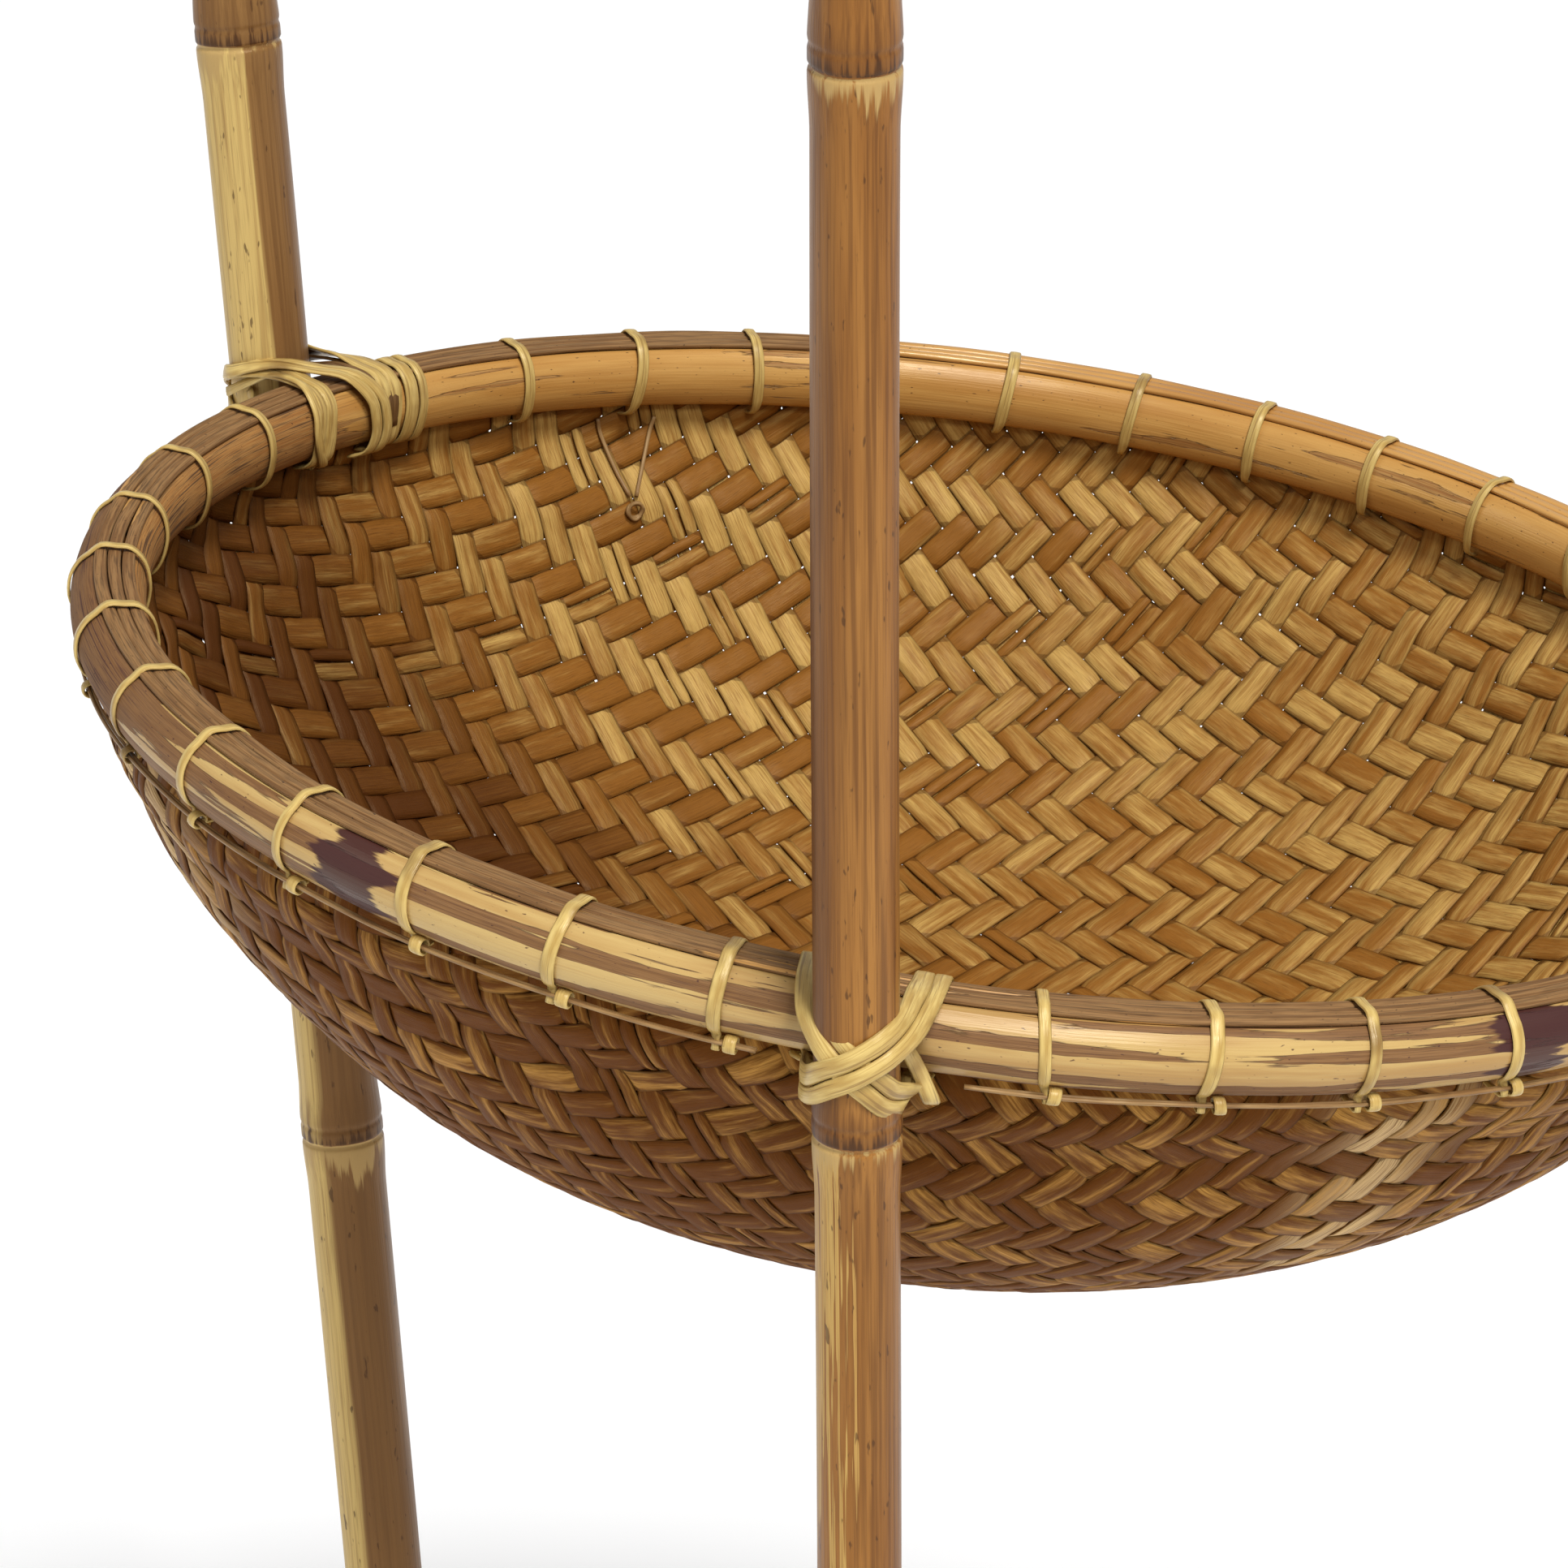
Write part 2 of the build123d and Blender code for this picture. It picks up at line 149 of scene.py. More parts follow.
class Shape:
    """A bmesh being put together from grids and spun profiles, then made an object."""

    def __init__(self, marks: Sequence[str] = ()) -> None:
        """Starts an empty shape.

        Args:
            marks: Names of the per-vertex values that its finish reads.
        """
        self.bm = bmesh.new()
        self.uv = self.bm.loops.layers.uv.new("lay")
        self.marks = {name: self.bm.verts.layers.float.new(name) for name in marks}

    def grid(self, along: int, across: int, place: Place, size: tuple[float, float],
             start: tuple[float, float] = (0.0, 0.0), **marks: float) -> list[bmesh.types.BMVert]:
        """Lays a grid of quads and moves it into place.

        Args:
            along: Quads along the piece.
            across: Quads across it.
            place: Turns rows of (along, across) shares into rows of positions.
            size: Length and width in metres, for the UV map.
            start: Where the UV map starts.
            **marks: A value for each mark.

        Returns:
            The new vertices.
        """
        made = bmesh.ops.create_grid(self.bm, x_segments=along, y_segments=across, size=0.5)["verts"]
        shares = np.array([(v.co.x + 0.5, v.co.y + 0.5) for v in made])
        spots = place(shares)
        place_of = {v: k for k, v in enumerate(made)}
        laid = shares * size + start
        for face in {f for v in made for f in v.link_faces}:
            face.smooth = True
            for loop in face.loops:
                loop[self.uv].uv = laid[place_of[loop.vert]]
        for vert, spot in zip(made, spots):
            vert.co = spot
            self.note(vert, **marks)
        return made

    def sweep(self, points: np.ndarray, normals: np.ndarray, section: np.ndarray,
              scale: np.ndarray | None = None, closed: bool = False, **marks: float) -> None:
        """Sweeps a closed section along a path.

        Args:
            points: Rows of positions along the path.
            normals: Rows of the direction in which the section's height points.
            section: Rows of (across, up), the first repeated at the end.
            scale: Rows of (across, up) scale, one per point.
            closed: Whether the path ends where it starts.
            **marks: A value for each mark.
        """
        runs = np.gradient(points, axis=0)
        if closed:
            runs[0] = runs[-1] = points[1] - points[-2]
        runs = unit(runs)
        ups = unit(normals - (normals * runs).sum(1, keepdims=True) * runs)
        sides = np.cross(runs, ups)
        sizes = np.ones((len(points), 2)) if scale is None else scale
        far = np.concatenate([[0.0], np.cumsum(np.linalg.norm(np.diff(points, axis=0), axis=1))])

        def place(shares: np.ndarray) -> np.ndarray:
            """Returns the swept position of each share."""
            k = np.rint(shares[:, 0] * (len(points) - 1)).astype(int)
            m = np.rint(shares[:, 1] * (len(section) - 1)).astype(int)
            off = section[m] * sizes[k]
            return points[k] + sides[k] * off[:, :1] + ups[k] * off[:, 1:]

        made = self.grid(len(points) - 1, len(section) - 1, place, (far[-1], girth_of(section)),
                         **marks)
        bmesh.ops.remove_doubles(self.bm, verts=made, dist=SAME_SPOT)
        if not closed:
            live = [v for v in made if v.is_valid]
            rims = [e for e in {e for v in live for e in v.link_edges} if e.is_boundary]
            caps = bmesh.ops.holes_fill(self.bm, edges=rims, sides=0)["faces"]
            for face in caps:
                for loop in face.loops:
                    loop[self.uv].uv = (0.0, 0.0)

    def note(self, vert: bmesh.types.BMVert, **marks: float) -> None:
        """Writes values of the marks on one vertex."""
        for name, value in marks.items():
            vert[self.marks[name]] = value

    def make(self, name: str, finishes: Sequence[bpy.types.Material],
             nodes: Sequence[str], outward: bool = True) -> bpy.types.Object:
        """Turns the shape into an object that rides on the stand.

        Args:
            name: The piece's name.
            finishes: Materials in slot order.
            nodes: CAD nodes that this piece stands for.
            outward: Whether to work out which way the faces point.

        Returns:
            The new object.
        """
        if outward:
            bmesh.ops.recalc_face_normals(self.bm, faces=self.bm.faces)
        mesh = bpy.data.meshes.new(name)
        self.bm.to_mesh(mesh)
        self.bm.free()
        for finish in finishes:
            mesh.materials.append(finish)
        piece = bpy.data.objects.new(name, mesh)
        bpy.context.scene.collection.objects.link(piece)
        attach(piece, "root")
        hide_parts(*nodes)
        LOG.info("%s: %d faces", name, len(mesh.polygons))
        return piece


@dataclass(frozen=True)
class Basket:
    """The basket's own frame: its rim lies level in it, and its centre is the rim's."""

    centre: tuple[float, float, float]
    tilt: float = 7.25
    rim: float = 0.280

    def out(self, rows: np.ndarray) -> np.ndarray:
        """Returns the stand's positions of rows of x, y, z in the basket's frame."""
        return self.turn(rows) + np.array(self.centre)

    def turn(self, rows: np.ndarray) -> np.ndarray:
        """Returns the stand's directions of rows of x, y, z in the basket's frame."""
        turn = np.array(Matrix.Rotation(math.radians(self.tilt), 3, "Y"))
        return np.asarray(rows) @ turn.T

    def ring(self, azimuth: np.ndarray, radius: np.ndarray, height: np.ndarray) -> np.ndarray:
        """Gives positions round the basket's axis.

        Args:
            azimuth: Degrees from the front pole's side, growing to the right.
            radius: Distance from the axis.
            height: Height over the rim's centre line.

        Returns:
            Rows of x, y, z of the stand.
        """
        turn = np.radians(azimuth)
        x, y, z = np.broadcast_arrays(np.sin(turn) * radius, -np.cos(turn) * radius, height)
        return self.out(np.stack([x, y, z], axis=-1))

    def axes(self, azimuth: float) -> np.ndarray:
        """Returns three rows: along the rim, outwards and up, at this azimuth."""
        turn = math.radians(azimuth)
        return self.turn(np.array([[math.cos(turn), math.sin(turn), 0.0],
                                   [math.sin(turn), -math.cos(turn), 0.0], [0.0, 0.0, 1.0]]))


# ---------------------------------------------------------------- finishes

class Coordinates(Enum):
    """Which coordinates a pattern is laid on."""

    OBJECT = "Object"
    LAY = "UV"


class Recipe:
    """A material's node tree, with the few nodes that the finishes here are made of."""

    def __init__(self, name: str, kind: Coordinates = Coordinates.LAY,
                 origin: Sequence[float] = (0, 0, 0), turn: Sequence[float] = (0, 0, 0)) -> None:
        """Starts a material with only its shader.

        Args:
            name: The material's name.
            kind: The coordinates that its patterns are laid on.
            origin: The patterns' origin.
            turn: The patterns' own axes as Euler angles.
        """
        self.kind, self.origin, self.turn = kind, origin, turn
        self.material = bpy.data.materials.new(name)
        self.material.use_nodes = True
        self.tree = self.material.node_tree
        self.shader = self.tree.nodes["Principled BSDF"]

    def node(self, kind: str, inputs: dict | None = None, **settings: object) -> bpy.types.Node:
        """Adds a node.

        Args:
            kind: The node's type.
            inputs: Values or sockets by input name or number.
            **settings: The node's own properties.

        Returns:
            The new node.
        """
        made = self.tree.nodes.new(kind)
        for key, value in settings.items():
            setattr(made, key, value)
        for key, value in (inputs or {}).items():
            if isinstance(value, bpy.types.NodeSocket):
                self.tree.links.new(value, made.inputs[key])
            else:
                made.inputs[key].default_value = value
        return made

    def grain(self, scale: Sequence[float], detail: float = 3.0, rough: float = 0.55,
              bend: float = 0.0, kind: Coordinates | None = None) -> bpy.types.NodeSocket:
        """Adds a noise in the recipe's own frame.

        Args:
            scale: Repeats per metre along each axis.
            detail: The noise's detail.
            rough: The noise's roughness.
            bend: The noise's distortion.
            kind: Coordinates other than the recipe's.

        Returns:
            The value socket.
        """
        source = self.node("ShaderNodeTexCoord").outputs[(kind or self.kind).value]
        local = self.node("ShaderNodeMapping", {"Vector": source, "Location": self.origin,
                                                "Rotation": self.turn}, vector_type="TEXTURE")
        at = self.node("ShaderNodeMapping", {"Vector": local.outputs[0], "Scale": scale}).outputs[0]
        return self.node("ShaderNodeTexNoise", {"Vector": at, "Scale": 1.0, "Detail": detail,
                                                "Roughness": rough, "Distortion": bend}).outputs["Fac"]

    def ramp(self, value: bpy.types.NodeSocket, low: float, high: float, first: float = 0.0,
             last: float = 1.0) -> bpy.types.NodeSocket:
        """Returns first where the value is at low, last at high, and eases between them."""
        return self.node("ShaderNodeMapRange", {"Value": value, "From Min": low, "From Max": high,
                                                "To Min": first, "To Max": last},
                         interpolation_type="SMOOTHSTEP").outputs["Result"]

    def sums(self, what: str, a: object, b: object) -> bpy.types.NodeSocket:
        """Returns the result of a Math node of this kind."""
        return self.node("ShaderNodeMath", {0: a, 1: b}, operation=what, use_clamp=False).outputs[0]

    def mark(self, name: str) -> bpy.types.NodeSocket:
        """Returns the value that the mesh carries under this name."""
        return self.node("ShaderNodeAttribute", attribute_name=name).outputs["Fac"]

    def swing(self, value: bpy.types.NodeSocket, size: float) -> bpy.types.NodeSocket:
        """Returns the value's distance from a half, times the size."""
        return self.sums("MULTIPLY", self.sums("SUBTRACT", value, 0.5), size)

    def blend(self, share: object, a: object, b: object) -> bpy.types.NodeSocket:
        """Blends two colours.

        Args:
            share: How much of b.
            a: A colour or a socket.
            b: A colour or a socket.

        Returns:
            The colour socket.
        """
        node = self.node("ShaderNodeMix", data_type="RGBA", blend_type="MIX", clamp_factor=True)
        for socket, value in zip((node.inputs[0], node.inputs[6], node.inputs[7]), (share, a, b)):
            if isinstance(value, bpy.types.NodeSocket):
                self.tree.links.new(value, socket)
            else:
                socket.default_value = (*value, 1.0) if isinstance(value, tuple) else value
        return node.outputs[2]

    def coats(self, colour: object, *coats: tuple) -> bpy.types.NodeSocket:
        """Lays coats of colour one over the other.

        Args:
            colour: What they are laid on.
            *coats: For each the value that it follows, where it starts and where it is full, the
                most that it covers, and its colour.

        Returns:
            The colour socket.
        """
        for value, low, high, share, paint in coats:
            colour = self.blend(self.ramp(value, low, high, 0.0, share), colour, paint)
        return colour

    def finish(self, colour: bpy.types.NodeSocket, rough: object, height: bpy.types.NodeSocket,
               depth: float, gloss: float = 0.5, tint: Colour = (1.0, 1.0, 1.0)) -> bpy.types.Material:
        """Connects the shader.

        Args:
            colour: The base colour.
            rough: The roughness, a number or a socket.
            height: The relief.
            depth: What a relief of one stands for, in metres.
            gloss: The specular level.
            tint: The colour of its gloss.

        Returns:
            The finished material.
        """
        bump = self.node("ShaderNodeBump", {"Height": height, "Distance": depth, "Strength": 1.0})
        self.tree.links.new(colour, self.shader.inputs["Base Color"])
        self.tree.links.new(bump.outputs[0], self.shader.inputs["Normal"])
        if isinstance(rough, bpy.types.NodeSocket):
            self.tree.links.new(rough, self.shader.inputs["Roughness"])
        else:
            self.shader.inputs["Roughness"].default_value = rough
        self.shader.inputs["Specular IOR Level"].default_value = gloss
        self.shader.inputs["Specular Tint"].default_value = (*tint, 1.0)
        return self.material


@dataclass(frozen=True)
class CulmSkin:
    """Skin of a bamboo culm: fibres, weathered flakes, specks, a ring at each joint, and painted shade in
    streaks down one side.
    """

    name: str
    ripe: Colour
    worn: Colour
    deep: Colour
    golden: Colour
    golden_from: float = 0.75
    ragged: float = 0.3
    ring: Colour = (0.055, 0.020, 0.008)
    bloom: Colour = (0.46, 0.30, 0.11)
    pith: Colour = (0.30, 0.19, 0.085)
    ring_share: float = 0.9

    def dress(self, origin: Sequence[float], turn: Sequence[float]) -> bpy.types.Material:
        """Builds the material.

        Args:
            origin: A point on the culm's axis.
            turn: Euler angles of the culm's own frame, its Z along the culm.

        Returns:
            The material.
        """
        r = Recipe(self.name, Coordinates.OBJECT, origin, turn)
        broad = r.grain((42, 42, 3.2), detail=4, rough=0.6)
        fibre = r.grain((620, 620, 9))
        hair = r.grain((1900, 1900, 40), detail=2)
        fleck = r.grain((480, 480, 130), detail=2)
        cloud = r.grain((16, 16, 5), detail=2)
        colour = r.coats(self.ripe, (broad, 0.38, 0.62, 1.0, self.worn),
                         (fibre, 0.40, 0.66, 0.65, self.deep), (cloud, 0.45, 0.70, 0.5, self.deep))
        # Painted shade: streaks of the deep colour down the culm's dusk side.
        shade = r.sums("MULTIPLY", r.mark("dusk"), r.ramp(broad, 0.3, 0.7, 0.35, 0.9))
        colour = r.blend(shade, colour, self.deep)
        gold = r.sums("ADD", r.mark("golden"), r.swing(broad, 2.4 * self.ragged))
        gold = r.sums("ADD", gold, r.swing(fibre, 1.2 * self.ragged))
        streaked = r.coats(self.golden, (fibre, 0.46, 0.70, 0.5, self.ripe))
        teeth = r.swing(fibre, 0.9)
        below = r.sums("ADD", r.sums("ADD", r.mark("below"), r.swing(broad, 1.6)), teeth)
        above = r.sums("ADD", r.mark("above"), teeth)
        colour = r.coats(colour, (gold, self.golden_from - 0.025, self.golden_from + 0.025, 1.0, streaked),
                         (hair, 0.50, 0.68, 0.30, self.deep), (fleck, 0.66, 0.72, 0.7, self.ring),
                         (below, 0.78, 0.96, 0.9, self.bloom), (above, 0.35, 0.95, 0.55, self.deep),
                         (above, 0.86, 1.00, self.ring_share, self.ring))
        colour = r.blend(r.mark("inside"), colour, self.pith)
        rough = r.ramp(broad, 0.35, 0.7, 0.30, 0.46)
        height = r.sums("ADD", r.sums("MULTIPLY", fibre, 0.6), r.sums("MULTIPLY", hair, 0.4))
        return r.finish(colour, rough, height, 0.00025, 0.30, (1.0, 0.82, 0.56))


@dataclass(frozen=True)
class HoopSkin:
    """Split culm bent into a hoop: glossy skin, torn brown patches, joints and a worn stretch."""

    name: str
    skin: Colour
    flush: Colour
    torn: Colour
    ring: Colour = (0.045, 0.014, 0.009)
    dusty: Colour = (0.24, 0.120, 0.048)
    torn_from: float = 0.53

    def dress(self) -> bpy.types.Material:
        """Builds the material on the piece's own lay.

        Returns:
            The material.
        """
        r = Recipe(self.name)
        broad = r.grain((7, 60, 1), detail=4, rough=0.6)
        patch = r.grain((9, 120, 1), detail=6, rough=0.50, bend=0.25)
        fibre = r.grain((20, 800, 1), detail=4)
        hair = r.grain((70, 3200, 1), detail=2)
        fleck = r.grain((420, 700, 1), detail=1)
        worn = r.mark("worn")
        edge = self.torn_from
        colour = r.coats(self.skin, (broad, 0.38, 0.64, 1.0, self.flush),
                         (fibre, 0.50, 0.70, 0.35, self.flush))
        level = r.sums("ADD", patch, r.sums("MULTIPLY", worn, 0.30))
        level = r.sums("ADD", level, r.swing(fibre, 0.05))
        scar = r.ramp(level, edge, edge + 0.010)
        rind = r.coats(self.torn, (fibre, 0.35, 0.65, 1.0, self.dusty), (hair, 0.48, 0.66, 0.6, self.ring))
        colour = r.blend(r.sums("MULTIPLY", scar, 0.95), colour, rind)
        lip = r.sums("MULTIPLY", r.ramp(level, edge - 0.012, edge), r.ramp(level, edge + 0.012, edge + 0.002))
        colour = r.blend(r.sums("MULTIPLY", lip, 0.55), colour, self.ring)
        colour = r.coats(colour, (fleck, 0.70, 0.76, 0.8, self.ring))
        groove = r.sums("MULTIPLY", r.ramp(fibre, 0.52, 0.62), worn)
        colour = r.blend(r.sums("MULTIPLY", groove, 0.85), colour, self.ring)
        joint = r.sums("ADD", r.mark("joint"), r.swing(patch, 2.2))
        colour = r.blend(r.sums("MULTIPLY", r.ramp(joint, 0.52, 0.66), 0.97), colour, self.ring)
        rough = r.sums("ADD", r.ramp(broad, 0.3, 0.7, 0.24, 0.36), r.sums("MULTIPLY", scar, 0.30))
        rough = r.sums("ADD", rough, r.sums("MULTIPLY", worn, 0.22))
        height = r.sums("SUBTRACT", r.sums("MULTIPLY", fibre, 0.45), r.sums("MULTIPLY", scar, 0.75))
        return r.finish(colour, rough, height, 0.00035, 0.48, (1.0, 0.88, 0.68))


@dataclass(frozen=True)
class CaneSkin:
    """Split cane: pale, with fine fibres along it and darker worn stretches."""

    name: str
    pale: Colour
    tan: Colour
    dark: Colour
    rough: float = 0.42

    def dress(self) -> bpy.types.Material:
        """Builds the material on the piece's own lay.

        Returns:
            The material.
        """
        r = Recipe(self.name)
        broad = r.grain((55, 420, 1))
        fibre = r.grain((45, 2600, 1))
        hair = r.grain((30, 1500, 1))
        stain_and_shade = r.grain((38, 38, 38), kind=Coordinates.OBJECT)
        colour = r.coats(self.pale, (broad, 0.35, 0.65, 1.0, self.tan), (fibre, 0.50, 0.64, 0.75, self.tan),
                         (hair, 0.54, 0.64, 0.55, self.dark), (stain_and_shade, 0.52, 0.72, 0.70, self.dark))
        return r.finish(colour, self.rough, fibre, 0.00022, 0.40, (1.0, 0.92, 0.72))


@dataclass(frozen=True)
class StripSkin:
    """One side of the woven strips: fibrous streaks, a tone per strip, and stains mixed with painted shade.
    """

    name: str
    pale: Colour
    warm: Colour
    dark: Colour
    rough: float
    gloss: float
    # How strongly this side takes the stain and painted shade marks, and the bleaching.
    stain_and_shade_share: float
    tones: tuple[float, float]
    frayed: float
    raw: Colour = (0.66, 0.45, 0.21)

    def dress(self) -> bpy.types.Material:
        """Builds the material on the strips' own lay and marks.

        Returns:
            The material.
        """
        r = Recipe(self.name)
        broad = r.grain((30, 260, 1), detail=4, rough=0.6)
        fibre = r.grain((45, 1500, 1), rough=0.6)
        hair = r.grain((140, 5200, 1), detail=2)
        tone = r.sums("ADD", r.mark("tone"), r.swing(broad, 1.8))
        # The stain mark is real stain plus painted shade; it darkens the tone.
        stain_and_shade = r.sums("MULTIPLY", r.mark("stain_and_shade"), self.stain_and_shade_share)
        tone = r.sums("SUBTRACT", tone, r.sums("MULTIPLY", stain_and_shade, 0.55))
        tone = r.sums("ADD", tone, r.sums("MULTIPLY", r.mark("bleach"), self.stain_and_shade_share))
        raw = r.sums("MULTIPLY", r.mark("frayed"), r.ramp(fibre, 0.34, 0.54, 0.25, 1.0))
        # Painted shade and stain, broken up by the fibres, blend towards the dark colour.
        soil_and_shade = r.sums("ADD", stain_and_shade, r.swing(fibre, 0.5))
        colour = r.coats(self.warm, (tone, *self.tones, 1.0, self.pale), (fibre, 0.46, 0.68, 0.55, self.warm),
                         (hair, 0.52, 0.66, 0.35, self.dark), (soil_and_shade, 0.30, 1.10, 0.92, self.dark))
        colour = r.blend(r.sums("MULTIPLY", raw, self.frayed), colour, self.raw)
        # Painted shade along each strip's edges and where it dips under another.
        colour = r.coats(colour, (r.mark("seam"), 0.82, 1.0, 0.50, self.dark))
        height = r.sums("ADD", r.sums("MULTIPLY", fibre, 0.7), r.sums("MULTIPLY", hair, 0.3))
        return r.finish(colour, self.rough, height, 0.00030, self.gloss, (1.0, 0.78, 0.48))


# ---------------------------------------------------------------- poles

@dataclass
class Pole:
    """One bamboo culm from the floor to its cut top."""

    node: str
    slot: str
    azimuth: float
    lean: float
    radius: float
    joints: tuple[float, ...]
    skin: CulmSkin
    basket: Basket
    golden_side: float = 200.0
    # dusk_side: the side of the culm that gets painted shade.
    dusk_side: float = 250.0
    golden_parts: tuple[tuple[float, float], ...] = ((-9.0, 1.0),)
    bow_top: float = 0.0012
    bow_foot: float = -0.0015
    seed: int = 1
    wall: float = 0.004
    septum: float = 0.004
    cup: float = 0.008
    swell: float = 0.0007
    groove: float = 0.0009
    hoop_arc: float = 0.0121875
    hoop_arc_at: float = 0.2798125
    gap: float = 0.0003
    joint_reach: float = 0.03
    lobes: tuple[tuple[float, int, float], ...] = ((0.00022, 2, 3.0), (0.00012, 5, 7.0))
    bow_reach: tuple[float, float] = (0.39, 0.70)

    def frame(self) -> Matrix:
        """Returns the culm's frame: Z along it, X out of the stand, origin at its lashing."""
        turn, lean = math.radians(self.azimuth), math.radians(self.lean)
        outward = Vector((math.sin(turn), -math.cos(turn), 0.0))
        axis = outward * math.sin(lean) + Vector((0.0, 0.0, math.cos(lean)))
        along = Vector(self.basket.axes(self.azimuth)[0])
        out = along.cross(axis).normalized()
        reach = self.hoop_arc + self.gap + self.radius
        origin = Vector(self.basket.ring(self.azimuth, self.hoop_arc_at, 0.0)) + out * reach
        side = axis.cross(out)
        rows = Matrix((out, side, axis)).transposed().to_4x4()
        return Matrix.Translation(origin) @ rows

    def surface(self, height: np.ndarray) -> np.ndarray:
        """Gives the culm's radius: a flare to each joint, a step under it, a collar above.

        Args:
            height: Heights along the culm from its lashing.

        Returns:
            The radius at each height.
        """
        radius = np.full_like(height, self.radius)
        for joint in self.joints:
            off = height - joint
            radius = radius + self.swell * ease(-off, 0.020, 0.003) * (off < 0)
            radius = radius + self.swell * ease(off, 0.022, 0.006) * (off >= 0)
            radius = radius - self.groove * np.exp(-((off + 0.0006) / 0.0007) ** 2)
            radius = radius - 0.45 * self.groove * np.exp(-((off - 0.0058) / 0.0009) ** 2)
        return radius

    def heights(self, low: float, high: float) -> np.ndarray:
        """Returns where the culm gets a ring of vertices: everywhere sparsely, close at joints."""
        spots = list(np.arange(low, high, 0.012))
        for joint in self.joints:
            spots += list(joint + np.arange(-0.006, 0.0105, 0.00075))
            spots += list(joint + np.arange(-0.024, 0.026, 0.003))
        spots = np.unique(np.round([s for s in spots if low < s < high], 5))
        keep = np.concatenate([[True], np.diff(spots) > 0.0003])
        return np.concatenate([[low], spots[keep], [high]])

    def build(self) -> bpy.types.Object:
        """Spins the culm's outline round its axis and cuts its ends level.

        Returns:
            The pole.
        """
        dice = random.Random(self.seed)
        place = self.frame()
        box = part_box(self.node)
        axis = place.col[2].xyz
        low = (box[0][2] - place.translation.z) / axis.z
        high = (box[1][2] - place.translation.z) / axis.z
        heights = self.heights(low, high)
        outline = list(zip(self.surface(heights), heights))
        bore = self.radius - self.wall
        outline = [(0.0, low)] + outline + [(bore, high), (bore, high - self.cup), (0.0, high - self.cup)]
        shape = Shape(("golden", "dusk", "above", "below", "inside"))
        verts = [shape.bm.verts.new((r, 0.0, z)) for r, z in outline]
        edges = [shape.bm.edges.new(pair) for pair in zip(verts, verts[1:])]
        bmesh.ops.spin(shape.bm, geom=verts + edges, cent=(0, 0, 0), axis=(0, 0, 1), dvec=(0, 0, 0),
                       angle=FULL_TURN, steps=56, use_merge=True, use_duplicate=False)
        bmesh.ops.remove_doubles(shape.bm, verts=shape.bm.verts, dist=SAME_SPOT)
        phases = [dice.uniform(0.0, 6.28) for _ in self.lobes]
        level = Vector((0.0, 0.0, 1.0))
        for vert in shape.bm.verts:
            x, y, z = vert.co
            radius = math.hypot(x, y)
            angle = math.atan2(y, x)
            share = next((part for low_end, part in self.golden_parts if z >= low_end), 1.0)
            golden = 0.5 + 0.5 * math.cos(angle - math.radians(self.golden_side))
            dusk = 0.5 + 0.5 * math.cos(angle - math.radians(self.dusk_side))
            over = min((z - joint for joint in self.joints if z >= joint), default=1.0)
            under = min((joint - z for joint in self.joints if z < joint), default=1.0)
            # dusk marks the side that gets painted shade, weaker below the second joint.
            shape.note(vert, inside=float(radius < bore + 1e-5 and z > low + 0.001), golden=share * golden,
                       dusk=dusk ** 3 * (1.0 if z > self.joints[1] else 0.35),
                       above=max(0.0, 1.0 - over / self.joint_reach),
                       below=max(0.0, 1.0 - under / self.joint_reach))
            if radius > bore + 1e-5:
                swing = sum(size * math.sin(lobes * angle + phase + z * twist)
                            for (size, lobes, twist), phase in zip(self.lobes, phases))
                stretch = (radius + swing * (1.0 - math.exp(-(z / 0.05) ** 2))) / radius
                vert.co.x, vert.co.y = x * stretch, y * stretch
            bow, reach = ((self.bow_top, self.bow_reach[0]) if z > 0
                          else (self.bow_foot, self.bow_reach[1]))
            vert.co.y += bow * (z / reach) ** 2
        bmesh.ops.transform(shape.bm, matrix=place, verts=shape.bm.verts)
        for vert in shape.bm.verts:
            along = (vert.co - place.translation).dot(axis)
            for end, shift in ((low, 0.0), (high, 0.0), (high - self.cup, -self.cup)):
                if abs(along - end) < 1e-4:
                    floor = (box[0] if end == low else box[1])[2] + shift
                    vert.co += axis * ((floor - vert.co.dot(level)) / axis.z)
        finish = self.skin.dress(tuple(place.translation), tuple(place.to_euler()))
        piece = shape.make(self.node + "_culm", [finish], [self.node])
        for face in piece.data.polygons:
            face.use_smooth = True
        return piece


# ---------------------------------------------------------------- rim

